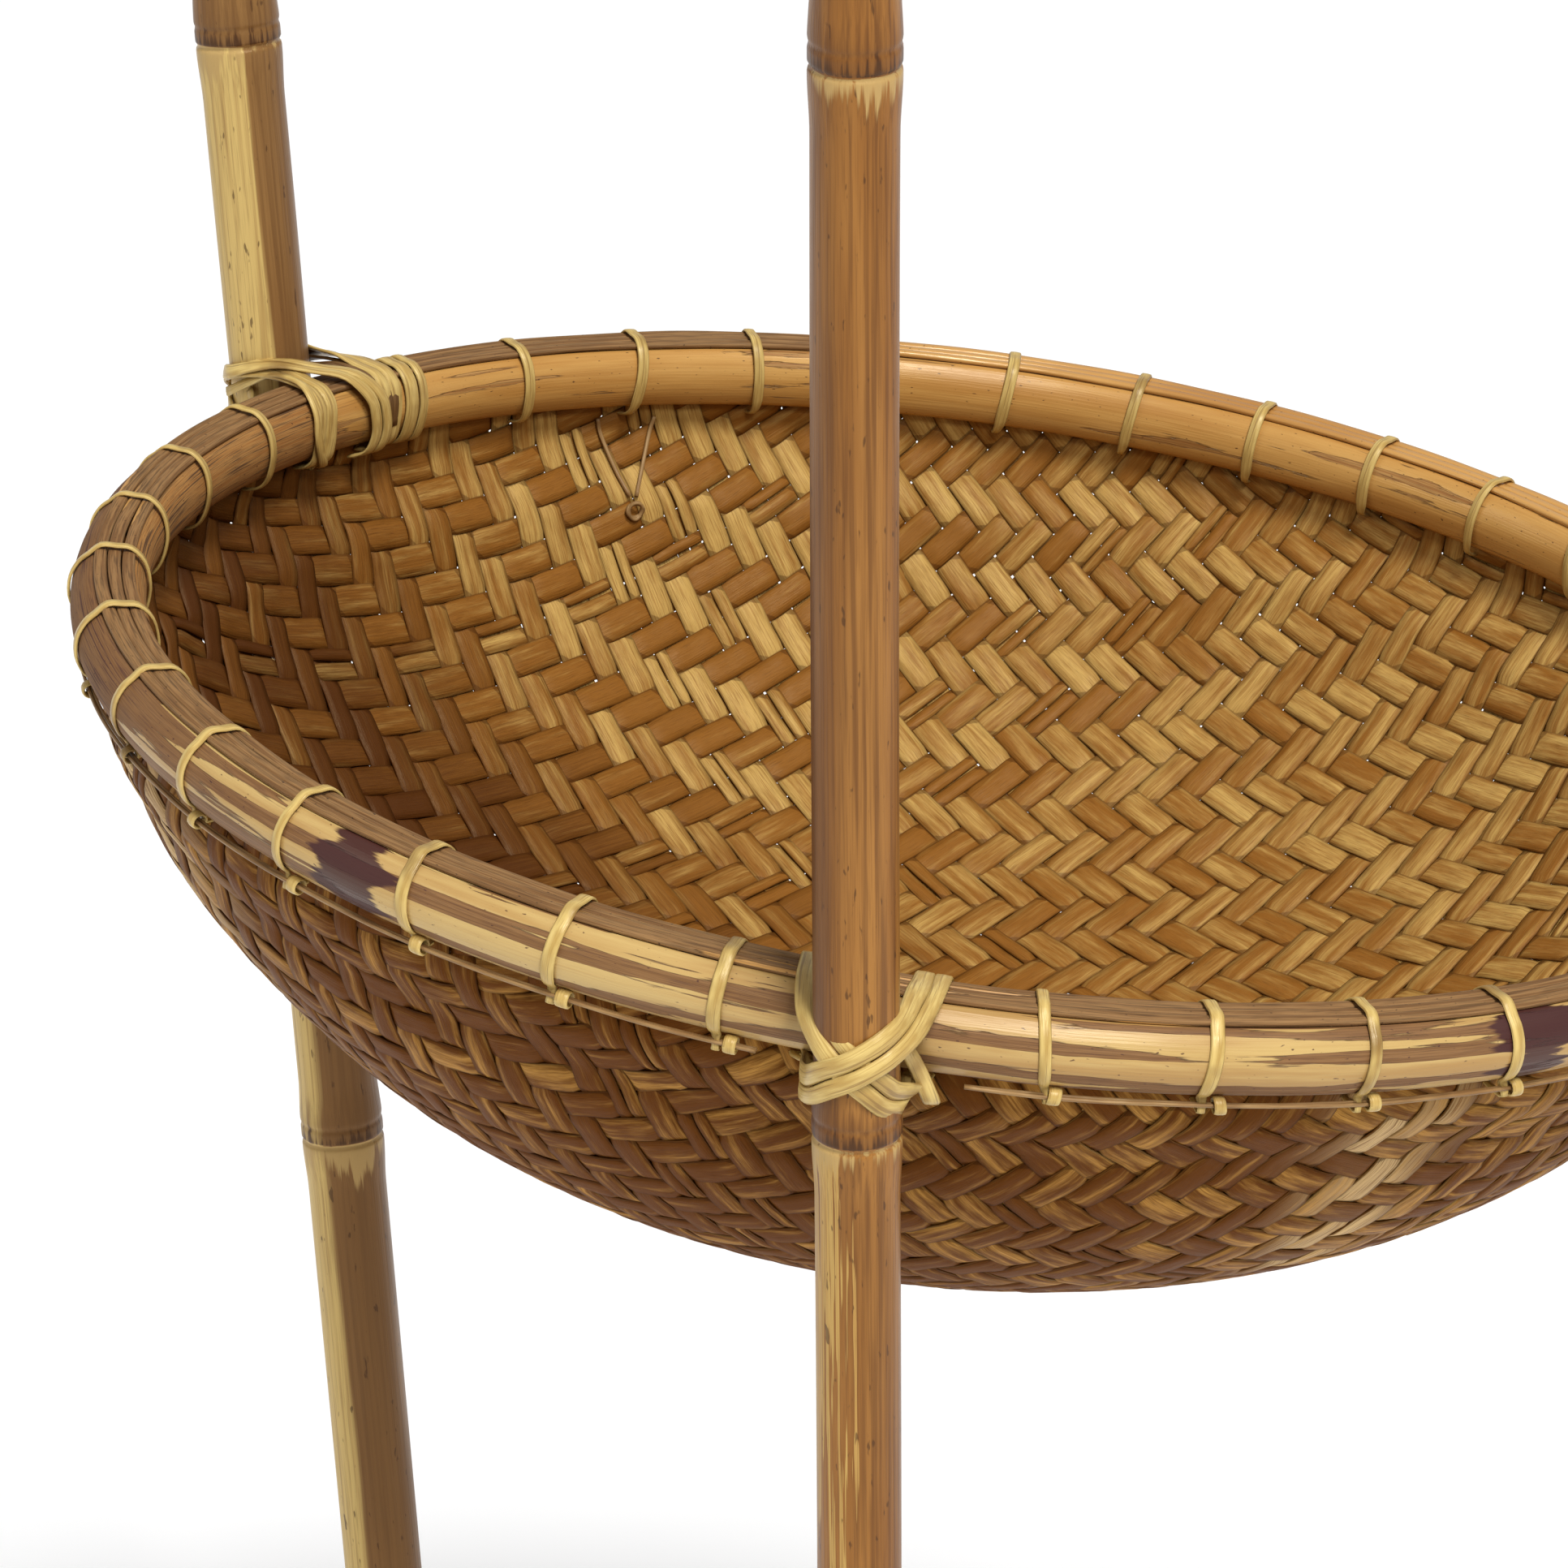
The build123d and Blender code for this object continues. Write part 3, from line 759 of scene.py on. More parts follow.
@dataclass
class Rim:
    """Two hoops with the bowl's edge between them, three splints on top, and their binding."""

    basket: Basket
    outer_skin: HoopSkin
    inner_skin: HoopSkin
    splint_skin: HoopSkin
    cane: CaneSkin
    thin_cane: CaneSkin
    arc: float = 0.0121875
    arc_at: float = 0.2798125
    outer_back: float = 0.280
    inner_back: float = 0.2765
    inner_face: float = 0.268
    half: float = 0.0105
    splints: tuple[tuple[str, float], ...] = (("rim_splint_inner", 0.27470),
                                              ("rim_splint_middle", 0.27910),
                                              ("rim_splint_outer", 0.28350))
    splint_width: float = 0.0042
    splint_base: float = 0.0107
    splint_thick: float = 0.0022
    outer_joints: tuple[float, ...] = (-33.0, 40.5, 114.0, 187.5, -106.5)
    inner_joints: tuple[float, ...] = (-40.0, 22.0, 100.0)
    loop_runs: tuple[tuple[float, float, int], ...] = ((-8.5, -10.1, 11), (-137.0, -9.6, 11),
                                                       (10.2, 9.6, 11))
    loop_width: float = 0.0040
    loop_thick: float = 0.0011
    runner_at: float = 0.2876
    runner_drop: float = 0.0129
    runner_radius: float = 0.0014
    runner_twist: float = 0.094
    runner_spans: tuple[tuple[float, float], ...] = ((-114.0, -6.0), (6.0, 114.0), (126.0, 234.0))
    seam: float = 120.0
    joint_reach: float = 0.016
    worn_at: float = -88.0
    worn_reach: tuple[float, float] = (24.0, 36.0)
    sound_at: float = 150.0
    sound_reach: tuple[float, float] = (54.0, 38.0)
    seed: int = 5

    def outer_section(self) -> np.ndarray:
        """Returns the outer hoop's section as rows of radius and height, closed."""
        turn = np.radians(np.linspace(59.5, -59.5, 15))
        face = np.stack([self.arc_at + self.arc * np.cos(turn), self.arc * np.sin(turn)], axis=1)
        low = [[0.2825, -self.half], [0.2803, -self.half + 0.0001], [self.outer_back, -0.0098]]
        high = [[self.outer_back, 0.0098], [0.2803, self.half - 0.0001], [0.2825, self.half]]
        return np.concatenate([face, low, high, face[:1]])

    def inner_section(self) -> np.ndarray:
        """Returns the inner hoop's section as rows of radius and height, closed."""
        depth = self.inner_back - self.inner_face
        turn = np.radians(np.linspace(-68.0, 68.0, 13))
        bulge = (np.cos(turn) - math.cos(turn[0])) / (1.0 - math.cos(turn[0]))
        face = np.stack([self.inner_back - 0.0035 - (depth - 0.0035) * bulge,
                         self.half * np.sin(turn) / math.sin(turn[-1])], axis=1)
        high = [[self.inner_back - 0.0003, self.half], [self.inner_back, self.half - 0.0006]]
        low = [[self.inner_back, -self.half + 0.0006], [self.inner_back - 0.0003, -self.half]]
        return np.concatenate([face, high, low, face[:1]])

    def lap(self, turns: int) -> tuple[np.ndarray, np.ndarray]:
        """Returns azimuths once round from behind a pole, and how far each is from both ends."""
        azimuth = self.seam + np.linspace(0.0, 360.0, turns + 1)
        return azimuth, np.minimum(ease(azimuth, self.seam, self.seam + 10.0),
                                   ease(azimuth, self.seam + 360.0, self.seam + 350.0))

    def hoop(self, node: str, section: np.ndarray, joints: Sequence[float],
             skin: HoopSkin, middle: float, seed: int) -> None:
        """Sweeps one hoop round the basket, with slow unevenness and a swelling at each joint.

        Args:
            node: The CAD node that it stands for.
            section: Rows of radius and height.
            joints: Azimuths of its joints.
            skin: Its finish.
            middle: Radius of its middle, about which it swells.
            seed: For its unevenness.
        """
        dice = random.Random(seed)
        turns = 480
        azimuth, fade = self.lap(turns)
        at = np.radians(azimuth) * self.basket.rim
        far = np.min([np.abs(turned_from(azimuth, joint)) for joint in joints], axis=0)
        far = far * math.radians(1.0) * self.basket.rim
        joint = np.exp(-(far / self.joint_reach) ** 2)
        worn = 1.0 - ease(np.abs(turned_from(azimuth, self.worn_at)), *self.worn_reach)
        uneven = 0.00022 * waves(at, dice, (0.13, 0.071, 0.039)) * fade
        shape = Shape(("joint", "worn"))

        def place(shares: np.ndarray) -> np.ndarray:
            """Returns the hoop's surface at each share."""
            k = np.rint(shares[:, 0] * turns).astype(int)
            m = np.rint(shares[:, 1] * (len(section) - 1)).astype(int)
            radius, height = section[m, 0], section[m, 1]
            grow = 1.0 + 0.018 * joint[k]
            radius = middle + (radius - middle) * grow + uneven[k] * np.abs(height) / self.half
            return self.basket.ring(azimuth[k], radius, height * (1.0 + 0.010 * joint[k]))

        made = shape.grid(turns, len(section) - 1, place,
                          (FULL_TURN * self.basket.rim, girth_of(section)))
        for k, vert in enumerate(made):
            step = k % (turns + 1)
            shape.note(vert, joint=joint[step], worn=worn[step])
        bmesh.ops.remove_doubles(shape.bm, verts=shape.bm.verts, dist=SAME_SPOT)
        shape.make(node + "_skin", [skin.dress()], [node])

    def splint(self, node: str, radius: float, seed: int) -> None:
        """Sweeps one splint round the top of the rim.

        Args:
            node: The CAD node that it stands for.
            radius: Of its middle.
            seed: For its unevenness.
        """
        dice = random.Random(seed)
        azimuth, fade = self.lap(360)
        at = np.radians(azimuth) * radius
        drift = 0.00025 * waves(at, dice, (0.17, 0.093)) * fade
        lift = 0.00018 * waves(at, dice, (0.11, 0.057)) * fade
        size = np.stack([1.0 + 0.10 * waves(at, dice, (0.21, 0.13)) * fade,
                         1.0 + 0.08 * waves(at, dice, (0.15, 0.08)) * fade], axis=1)
        points = self.basket.ring(azimuth, radius + drift, self.splint_base + self.splint_thick / 2 + lift)
        normals = np.broadcast_to(self.basket.axes(0.0)[2], points.shape)
        shape = Shape(("joint", "worn"))
        section = round_section(self.splint_width + 0.0001, self.splint_thick, 10, 3.4)
        shape.sweep(points, normals, section, size, closed=True, worn=0.0, joint=0.0)
        for vert in shape.bm.verts:
            x, y = vert.co.x - self.basket.centre[0], vert.co.y - self.basket.centre[1]
            away = abs(turned_from(math.degrees(math.atan2(x, -y)), self.sound_at))
            shape.note(vert, worn=0.55 - 0.95 * float(ease(np.array(away), *self.sound_reach)))
        shape.make(node + "_strip", [self.splint_skin.dress()], [node])

    def loop_azimuths(self) -> list[float]:
        """Returns the azimuth of every binding loop."""
        return [first + step * k for first, step, count in self.loop_runs for k in range(count)]

    def loop_path(self) -> np.ndarray:
        """Returns stations round the rim as rows of radius, height and the normal in both."""
        off = self.loop_thick / 2 + 0.0001
        rows = []
        for angle in (-58.0, -40.0, -15.0, 12.0, 36.0, 54.0):
            turn = math.radians(angle)
            reach = self.arc + off
            rows.append((self.arc_at + reach * math.cos(turn), reach * math.sin(turn),
                         math.cos(turn), math.sin(turn)))
        top = self.splint_base + self.splint_thick + off + 0.0001
        rows += [(0.2838, top, 0.2, 1.0), (0.2790, top + 0.0002, 0.0, 1.0), (0.2742, top, -0.3, 1.0),
                 (0.2696, 0.0097, -0.85, 0.5), (self.inner_face - off, 0.003, -1.0, 0.0),
                 (self.inner_face - off, -0.003, -1.0, 0.0), (0.2688, -0.0088, -0.9, -0.4),
                 (0.2716, -0.0124, -0.4, -0.9), (0.2770, -0.0144, -0.1, -1.0),
                 (0.2830, -0.0152, 0.0, -1.0), (0.2878, -0.0151, 0.5, -0.9)]
        return np.array(rows)

    def bind(self, shape: Shape, ring: np.ndarray, turned: np.ndarray, section: np.ndarray,
             pull: float = 0.0, size: np.ndarray | None = None) -> None:
        """Sweeps one flat turn of cane round the rim.

        Args:
            shape: What it is added to.
            ring: Rows of radius, height and the normal in both.
            turned: The azimuth of each row.
            section: The cane's section.
            pull: How far it stands off its path.
            size: Rows of (across, up) scale.
        """
        away = unit(ring[:, 2:])
        points = self.basket.ring(turned, ring[:, 0] + away[:, 0] * pull, ring[:, 1] + away[:, 1] * pull)
        ahead = self.basket.ring(turned, ring[:, 0] + away[:, 0], ring[:, 1] + away[:, 1])
        shape.sweep(points, ahead - points, section, size, closed=True)

    def loops(self) -> None:
        """Binds the rim: one flat loop of cane every ten degrees, each its own width and slant."""
        dice = random.Random(self.seed)
        shape = Shape()
        ring = smooth_path(self.loop_path(), 3, True)
        section = round_section(self.loop_width, self.loop_thick, 8, 3.0)
        for azimuth in self.loop_azimuths():
            slant = dice.uniform(-0.45, 0.35)
            pull = dice.uniform(-0.0001, 0.0003)
            width = dice.uniform(0.86, 1.16)
            along = slant * ring[:, 1] / self.half + 0.3 * ease(-ring[:, 1], 0.008, 0.015)
            narrow = 1.0 - 0.42 * ease(-ring[:, 1], 0.006, 0.0145)
            size = np.stack([width * narrow, np.ones(len(ring))], axis=1)
            self.bind(shape, ring, azimuth + along * 0.55, section, pull, size)
        shape.make("rim_loops", [self.cane.dress()], ["rim_binding_loops"])

    def keepers(self) -> None:
        """Ties each loop to the runner with one flat turn of cane."""
        dice = random.Random(self.seed + 1)
        shape = Shape()
        step = math.degrees((self.loop_width / 2 + 0.0003 + 0.0025) / self.runner_at)
        for azimuth in self.loop_azimuths():
            middle = azimuth + step + dice.uniform(-0.15, 0.1)
            angle = np.radians(np.linspace(0.0, 360.0, 15))
            reach = self.runner_radius + 0.0008 + dice.uniform(0.0, 0.0002)
            lean = dice.uniform(-0.12, 0.12) * np.sin(angle)
            radius = self.runner_at + reach * np.cos(angle)
            height = -self.runner_drop + reach * np.sin(angle)
            points = self.basket.ring(middle + lean, radius, height)
            heart = self.basket.ring(middle + lean, self.runner_at, -self.runner_drop)
            section = round_section(0.0043 * dice.uniform(0.85, 1.08), 0.0010, 10, 2.6)
            shape.sweep(points, points - heart, section, closed=True)
        shape.make("runner_wraps", [self.cane.dress()], ["runner_keepers"])

    def runner(self) -> None:
        """Runs a doubled thin cane under the outer hoop, in three lengths between the poles."""
        dice = random.Random(self.seed + 2)
        shape = Shape()
        for start, end in self.runner_spans:
            azimuth = np.linspace(start, end, 190)
            at = np.radians(azimuth) * self.runner_at
            for strand in (-1, 1):
                swing = waves(at, dice, (0.083, 0.047)) * 0.00022
                twist = np.sin(at * FULL_TURN / self.runner_twist + strand) * 0.25
                radius = self.runner_at + strand * 0.00068 * np.cos(twist) + swing
                height = -self.runner_drop + strand * 0.00068 * np.sin(twist) + swing
                points = self.basket.ring(azimuth, radius, height)
                normals = np.broadcast_to(self.basket.axes(0.0)[2], points.shape)
                section = round_section(0.00115, 0.00125, 7, 2.2)
                shape.sweep(points, normals, section)
        shape.make("runner_strands", [self.thin_cane.dress()], ["runner_cane"])

    def wraps(self, node: str, azimuth: float) -> None:
        """Winds two turns of cane round the rim beside a rear pole.

        Args:
            node: The CAD node that they stand for.
            azimuth: Where they are.
        """
        dice = random.Random(int(azimuth))
        shape = Shape()
        path = np.concatenate([self.loop_path()[1:-2], [(0.2850, -0.0146, 0.3, -1.0)]])
        ring = smooth_path(path, 3, True)
        for k, width in ((-0.62, 0.0038), (0.55, 0.0062)):
            turned = azimuth + k + ring[:, 1] * dice.uniform(-14.0, 14.0)
            self.bind(shape, ring, turned, round_section(width, 0.0013, 8, 3.0))
        shape.make(node + "_cane", [self.cane.dress()], [node])

    def build(self) -> None:
        """Builds the whole rim."""
        self.hoop("outer_hoop", self.outer_section(), self.outer_joints,
                  self.outer_skin, 0.2845, 11)
        self.hoop("inner_hoop", self.inner_section(), self.inner_joints,
                  self.inner_skin, 0.2735, 12)
        for k, (node, radius) in enumerate(self.splints):
            self.splint(node, radius, 20 + k)
        self.loops()
        self.keepers()
        self.runner()
        self.wraps("rim_wraps_rear_left", -126.3)
        self.wraps("rim_wraps_rear_right", 126.3)


# ---------------------------------------------------------------- bowl

class Family(Enum):
    """The two directions in which the strips run, as azimuths."""

    STEEP = 53.0
    SHALLOW = 143.0


@dataclass
class WovenBowl:
    """A bowl of flat strips in two-over, two-under twill, from the base to between the hoops."""

    basket: Basket
    inside: StripSkin
    outside: StripSkin
    edge: float = 0.27825
    waist: float = 0.2701
    depth: float = 0.1735
    tail: float = 0.017
    flare_end: float = 0.046
    shift: float = 0.014
    top: float = 0.0092
    pitch: float = 0.0110
    width: float = 0.0110
    thick: float = 0.00075
    rise: float = 0.00060
    crown: float = 0.00026
    per_cell: int = 4
    split_share: float = 0.10
    split_gap: float = 0.0004
    slack: float = 0.008
    slack_at: float = -78.0
    slack_reach: float = 42.0
    bleached: tuple[tuple[float, float], ...] = ((-0.12, 0.22), (0.10, 0.070))
    raw_patches: tuple[tuple[float, ...], ...] = ((33.5, 3.6, 1.3, 0.185, 0.225),
                                                  (-62.0, 9.0, 1.1, 0.21, 0.25))
    seed: int = 3
    profile: tuple[np.ndarray, ...] = field(init=False)

    def __post_init__(self) -> None:
        """Works out the bowl's outline by its length from the middle of the base."""
        end = math.acos(self.tail / self.depth)
        turn = np.linspace(0.0, end, 240)
        deep = self.depth * np.cos(turn)
        share = ease(deep, self.tail, self.flare_end)
        radius = self.edge * (1.0 - share) + self.waist * np.sin(turn) * share
        straight = np.linspace(self.tail, -self.top, 12)[1:]
        deep = np.concatenate([deep, straight])
        radius = np.concatenate([radius, np.full(len(straight), self.edge)])
        steps = np.hypot(np.diff(radius), np.diff(deep))
        far = np.concatenate([[0.0], np.cumsum(steps)])
        out = np.gradient(radius, far)
        down = np.gradient(deep, far)
        self.profile = (far, radius, deep, out, down)

    def surface(self, flat: np.ndarray, lift: np.ndarray) -> np.ndarray:
        """Bends the flat weave to the bowl.

        Args:
            flat: Rows of x and y in the flat weave, from its middle.
            lift: Height over the middle of the wall, towards the inside.

        Returns:
            Rows of positions of the stand.
        """
        far, radius, deep, out, down = self.profile
        reach = np.linalg.norm(flat, axis=1)
        away = flat / np.maximum(reach, 1e-9)[:, None]
        reach = np.minimum(reach, far[-1])
        r = np.interp(reach, far, radius)
        d = np.interp(reach, far, deep)
        normal_r = np.interp(reach, far, down)
        normal_z = np.interp(reach, far, out)
        r = r + normal_r * lift
        z = -d + normal_z * lift
        azimuth = np.degrees(np.arctan2(away[:, 0], -away[:, 1]))
        bulge = np.exp(-((azimuth - self.slack_at) / self.slack_reach) ** 2)
        r = r + self.slack * bulge * ease(d, 0.014, 0.040) * ease(d, 0.105, 0.050)
        slide = self.shift * (np.maximum(0.0, d - self.tail) / (self.depth + 0.0015 - self.tail)) ** 2
        rows = np.stack([away[:, 0] * r - slide, away[:, 1] * r, z], axis=1)
        return self.basket.out(rows)

    def over(self, family: Family, row: int, cell: np.ndarray) -> np.ndarray:
        """Tells over (1) from under (-1) at each crossing.

        Args:
            family: The strip's direction.
            row: The strip's number.
            cell: Numbers of the strips that it crosses.

        Returns:
            1 or -1 for each.
        """
        if family is Family.STEEP:
            return np.where((row - cell) % 4 < 2, 1.0, -1.0)
        return np.where((cell - row) % 4 < 2, -1.0, 1.0)

    def strip(self, shape: Shape, family: Family, row: int, dice: random.Random, side: float,
              width: float, tone: float) -> None:
        """Lays one strip across the bowl.

        Args:
            shape: What it is added to.
            family: Its direction.
            row: Its number, counted from the middle.
            dice: Where its unevenness comes from.
            side: How far its middle lies from the row's middle.
            width: Its width.
            tone: Its paleness.
        """
        turn = math.radians(family.value)
        along = np.array([math.sin(turn), -math.cos(turn)])
        across = np.array([-along[1], along[0]])
        if family is Family.SHALLOW:
            across = -across
        limit = self.profile[0][-1]
        middle = row * self.pitch
        half = math.sqrt(max(0.0, limit ** 2 - middle ** 2))
        cells = math.ceil(half / self.pitch * self.per_cell)
        if cells < self.per_cell:
            return
        steps = np.arange(-cells, cells + 1) / self.per_cell
        base = np.floor(steps)
        share = np.clip((steps - base - 0.5) / 0.56 + 0.5, 0.0, 1.0)
        wave = self.over(family, row, base) * (1 - share) + self.over(family, row, base + 1) * share
        at = steps * self.pitch
        drift = waves(at, dice, (0.19, 0.083, 0.037)) * 0.00034
        roll = waves(at, dice, (0.061, 0.029, 0.017)) * 0.00042
        pinch = 1.0 - 0.05 * (1.0 - np.abs(wave)) + 0.035 * waves(at, dice, (0.12, 0.05))
        count = 2 * cells

        def flat_of(shares: np.ndarray) -> tuple[np.ndarray, np.ndarray, np.ndarray]:
            """Returns the step, the share across and the flat position of each vertex."""
            k = np.rint(shares[:, 0] * count).astype(int)
            v = shares[:, 1] * 2.0 - 1.0
            sideways = middle + side + drift[k] + v * width / 2 * pinch[k]
            flat = at[k][:, None] * along + sideways[:, None] * across
            return k, v, flat

        def place(shares: np.ndarray) -> np.ndarray:
            """Returns the strip's mid surface on the bowl."""
            k, v, flat = flat_of(shares)
            dome = self.crown * (1.0 - v * v) * np.sign(wave[k] + 1e-9) * np.abs(wave[k])
            return self.surface(flat, wave[k] * self.rise + dome + v * roll[k])

        columns = 3 if width > 0.007 else 2
        made = shape.grid(count, columns, place, (count * self.pitch / self.per_cell, width),
                          start=(dice.uniform(0.0, 9.0), dice.uniform(0.0, 9.0)), tone=tone)
        self.mark_crease_shade(shape, made, wave, columns)
        if family is Family.SHALLOW:
            bmesh.ops.reverse_faces(shape.bm, faces=list({f for v in made for f in v.link_faces}))
        self.soil_and_shade(shape, made, family, dice.uniform(0.72, 1.14))

    def mark_crease_shade(self, shape: Shape, verts: Sequence[bmesh.types.BMVert], wave: np.ndarray,
                 columns: int) -> None:
        """Marks the edges of a strip and where it dips under another, for painted shade in these gaps.

        Args:
            shape: The shape that holds the marks.
            verts: The strip's vertices, row by row.
            wave: Over (1) to under (-1) at each step along the strip.
            columns: Quads across the strip.
        """
        steps = len(wave)
        for k, vert in enumerate(verts):
            row, step = divmod(k, steps)
            edge = 1.0 if row in (0, columns) else 0.0
            shape.note(vert, seam=max(edge, 1.0 - abs(wave[step])))

    def soil_and_shade(self, shape: Shape, verts: Sequence[bmesh.types.BMVert], family: Family,
             share: float) -> None:
        """Marks dark stains mixed with painted shade (darker on the left, lighter towards the back), how
        bleached each direction is, and raw patches outside.

        Args:
            shape: The shape that holds the marks.
            verts: The strip's vertices.
            family: The strip's direction.
            share: How readily this strip takes the stain and the painted shade.
        """
        x, y, _ = (np.array([v.co for v in verts]) - np.array(self.basket.centre)).T
        # Real stain plus painted shade: darker on the left wall, lighter towards the back wall.
        left = 0.55 * ease(-x, -0.27, 0.06) + 0.45 * ease(-x, -0.02, 0.20)
        stain_and_shade = 0.05 + 0.94 * share * left * (1.0 - 0.66 * ease(y, 0.06, 0.21))
        spot, size = self.bleached
        near = np.exp(-((x - spot[0]) / size[0]) ** 2 - ((y - spot[1]) / size[1]) ** 2)
        bleach = (0.50 if family is Family.STEEP else -0.42) * near
        azimuth, radius = np.degrees(np.arctan2(x, -y)), np.hypot(x, y)
        raw = sum(most * np.exp(-((azimuth - at) / reach) ** 2) * ease(radius, low, high)
                  for at, reach, most, low, high in self.raw_patches)
        frayed = np.minimum(1.0, raw) * (1.5 * share - 0.7) * (1.0 if family is Family.STEEP else 0.06)
        for vert, *values in zip(verts, stain_and_shade, bleach, frayed):
            shape.note(vert, **dict(zip(("stain_and_shade", "bleach", "frayed"), values)))

    def build(self) -> None:
        """Weaves the bowl in six groups of strips."""
        finishes = [self.inside.dress(), self.outside.dress()]
        rows = math.floor(self.profile[0][-1] / self.pitch)
        for family in Family:
            dice = random.Random(self.seed + int(family.value))
            for group in range(3):
                shape = Shape(("tone", "stain_and_shade", "seam", "bleach", "frayed"))
                for row in range(-rows, rows + 1):
                    if (row + rows) * 3 // (2 * rows + 1) != group:
                        continue
                    tone = dice.uniform(0.32, 0.72)
                    if dice.random() < self.split_share:
                        part = dice.uniform(0.40, 0.60)
                        first = self.width * part - self.split_gap
                        second = self.width * (1.0 - part) - self.split_gap
                        self.strip(shape, family, row, dice, (first - self.width) / 2, first, tone)
                        self.strip(shape, family, row, dice, (self.width - second) / 2, second,
                                   tone + dice.uniform(-0.3, 0.3))
                    else:
                        width = self.width * dice.uniform(0.95, 1.02)
                        self.strip(shape, family, row, dice, 0.0, width, tone)
                name = f"weave_{family.name.lower()}_{group + 1}"
                piece = shape.make(name, finishes, ["woven_bowl"], outward=False)
                wall = piece.modifiers.new("wall", "SOLIDIFY")
                wall.thickness = self.thick
                wall.offset = 0.0
                wall.material_offset = 1
                wall.material_offset_rim = 0


# ---------------------------------------------------------------- lashings

@dataclass
class Lashing:
    """Flat cane wound in a cross round a pole and the rim, two strands side by side."""

    name: str
    pole: Pole
    basket: Basket
    cane: CaneSkin
    old_cane: CaneSkin
    seed: int
    band: float = 0.0050
    pitch: float = 0.0054
    thick: float = 0.0013
    drawn_for: float = 0.01225

    def half(self, turn: int, over: float) -> list[tuple[float, ...]]:
        """Gives stations of one half of the figure: up across the pole, over the rim, down inside.

        Args:
            turn: 1 for the band that rises to the right, -1 for the one that rises to the left.
            over: How much further out it lies than the band under it.

        Returns:
            Rows of position and normal, along the rim, outwards and up.
        """
        radius = self.pole.radius
        middle = self.pole.hoop_arc + self.pole.gap + radius
        grow = radius - self.drawn_for
        rows: list[tuple[float, ...]] = [
            (-0.0145, 0.0, -0.0152, -0.6, 0.2, -0.8), (-0.0150, 0.0080, -0.0152, -1.0, 0.1, -0.3),
            (-0.0154, 0.0160, -0.0140, -1.0, 0.2, -0.1),
            (-0.0145 - grow, 0.0240 + grow, -0.0120, -1.0, 0.4, 0.0)]
        if turn < 0:
            rows = [(-0.0145, 0.0, -0.0152, 0.0, 0.2, -1.0), (-0.0152, 0.0080, -0.0154, -0.2, 0.5, -0.9),
                    (-0.0158, 0.0160, -0.0142, -0.6, 0.7, -0.4),
                    (-0.0150 - grow, 0.0240 + grow, -0.0120, -0.8, 0.7, 0.0)]
        for angle, height in ((-60.0, -0.0092), (-30.0, -0.0042), (0.0, 0.0008), (30.0, 0.0060),
                              (60.0, 0.0098)):
            a = math.radians(angle)
            out = radius + self.thick / 2 + 0.0003 + over * math.exp(-(angle / 50.0) ** 2)
            rows.append((out * math.sin(a), middle + out * math.cos(a), height,
                         math.sin(a) * 0.85, math.cos(a) + 0.10, max(0.0, math.sin(a)) * 0.5))
        rows += [(0.0142 + grow, 0.0240 + grow, 0.0124, 0.55, 0.45, 0.70),
                 (0.0153, 0.0160, 0.0142, 0.35, 0.45, 0.80),
                 (0.0160, 0.0085, 0.0150, 0.15, 0.50, 0.85), (0.0163, 0.0010, 0.0147, 0.0, 0.0, 1.0),
                 (0.0165, -0.0065, 0.0140, 0.0, -0.3, 1.0), (0.0166, -0.0114, 0.0095, 0.0, -0.9, 0.5),
                 (0.0168, -0.0127, 0.0020, 0.0, -1.0, 0.0), (0.0168, -0.0127, -0.0040, 0.0, -1.0, 0.0),
                 (0.0168, -0.0116, -0.0096, 0.0, -0.8, -0.6), (0.0164, -0.0070, -0.0134, 0.0, -0.3, -1.0),
                 (0.0156, -0.0010, -0.0148, 0.0, 0.0, -1.0)]
        return [(turn * u, v, w, turn * a, b, c) for u, v, w, a, b, c in rows]

    def build(self) -> None:
        """Winds the strands and lays the loose tail."""
        dice = random.Random(self.seed)
        axes = self.basket.axes(self.pole.azimuth)
        heart = self.basket.ring(self.pole.azimuth, self.pole.hoop_arc_at, 0.0)
        shape = Shape()
        for strand, shift in enumerate((-0.5, 0.5)):
            rows = np.array(self.half(1, 0.0013) + self.half(-1, 0.0))
            points = smooth_path(rows[:, :3], 4, True)
            normals = smooth_path(rows[:, 3:], 4, True)
            runs = np.gradient(points, axis=0)
            runs[0] = runs[-1] = points[1] - points[-2]
            sides = unit(np.cross(unit(runs), unit(normals)))
            frontal = ease(points[:, 1], 0.020, 0.034)[:, None]
            points = points + sides * shift * self.pitch * (1.0 + 0.10 * frontal)
            points = points @ axes + heart
            width = self.band * (1.22 if strand == 1 else 1.04)
            section = round_section(width, self.thick, 8, 3.2)
            at = np.linspace(0.0, 0.5, len(points))
            swell = 1.0 + 0.07 * waves(at, dice, (0.11, 0.047))
            swell[-1] = swell[0]
            size = np.stack([swell, np.ones(len(swell))], axis=1)
            shape.sweep(points, normals @ axes, section, size, closed=True)
        self.lay(shape, self.tail(), round_section(self.band, 0.0012, 8, 3.0), self.taper(29))
        for rows, width in self.overlays():
            self.lay(shape, rows, round_section(width, self.thick, 8, 3.2))
        nodes = [f"lashing_{self.name}_rising", f"lashing_{self.name}_falling"]
        shape.make(f"lashing_{self.name}_cane", [self.cane.dress()], nodes)
        if self.pole.azimuth != 0.0:
            self.bundle(nodes)

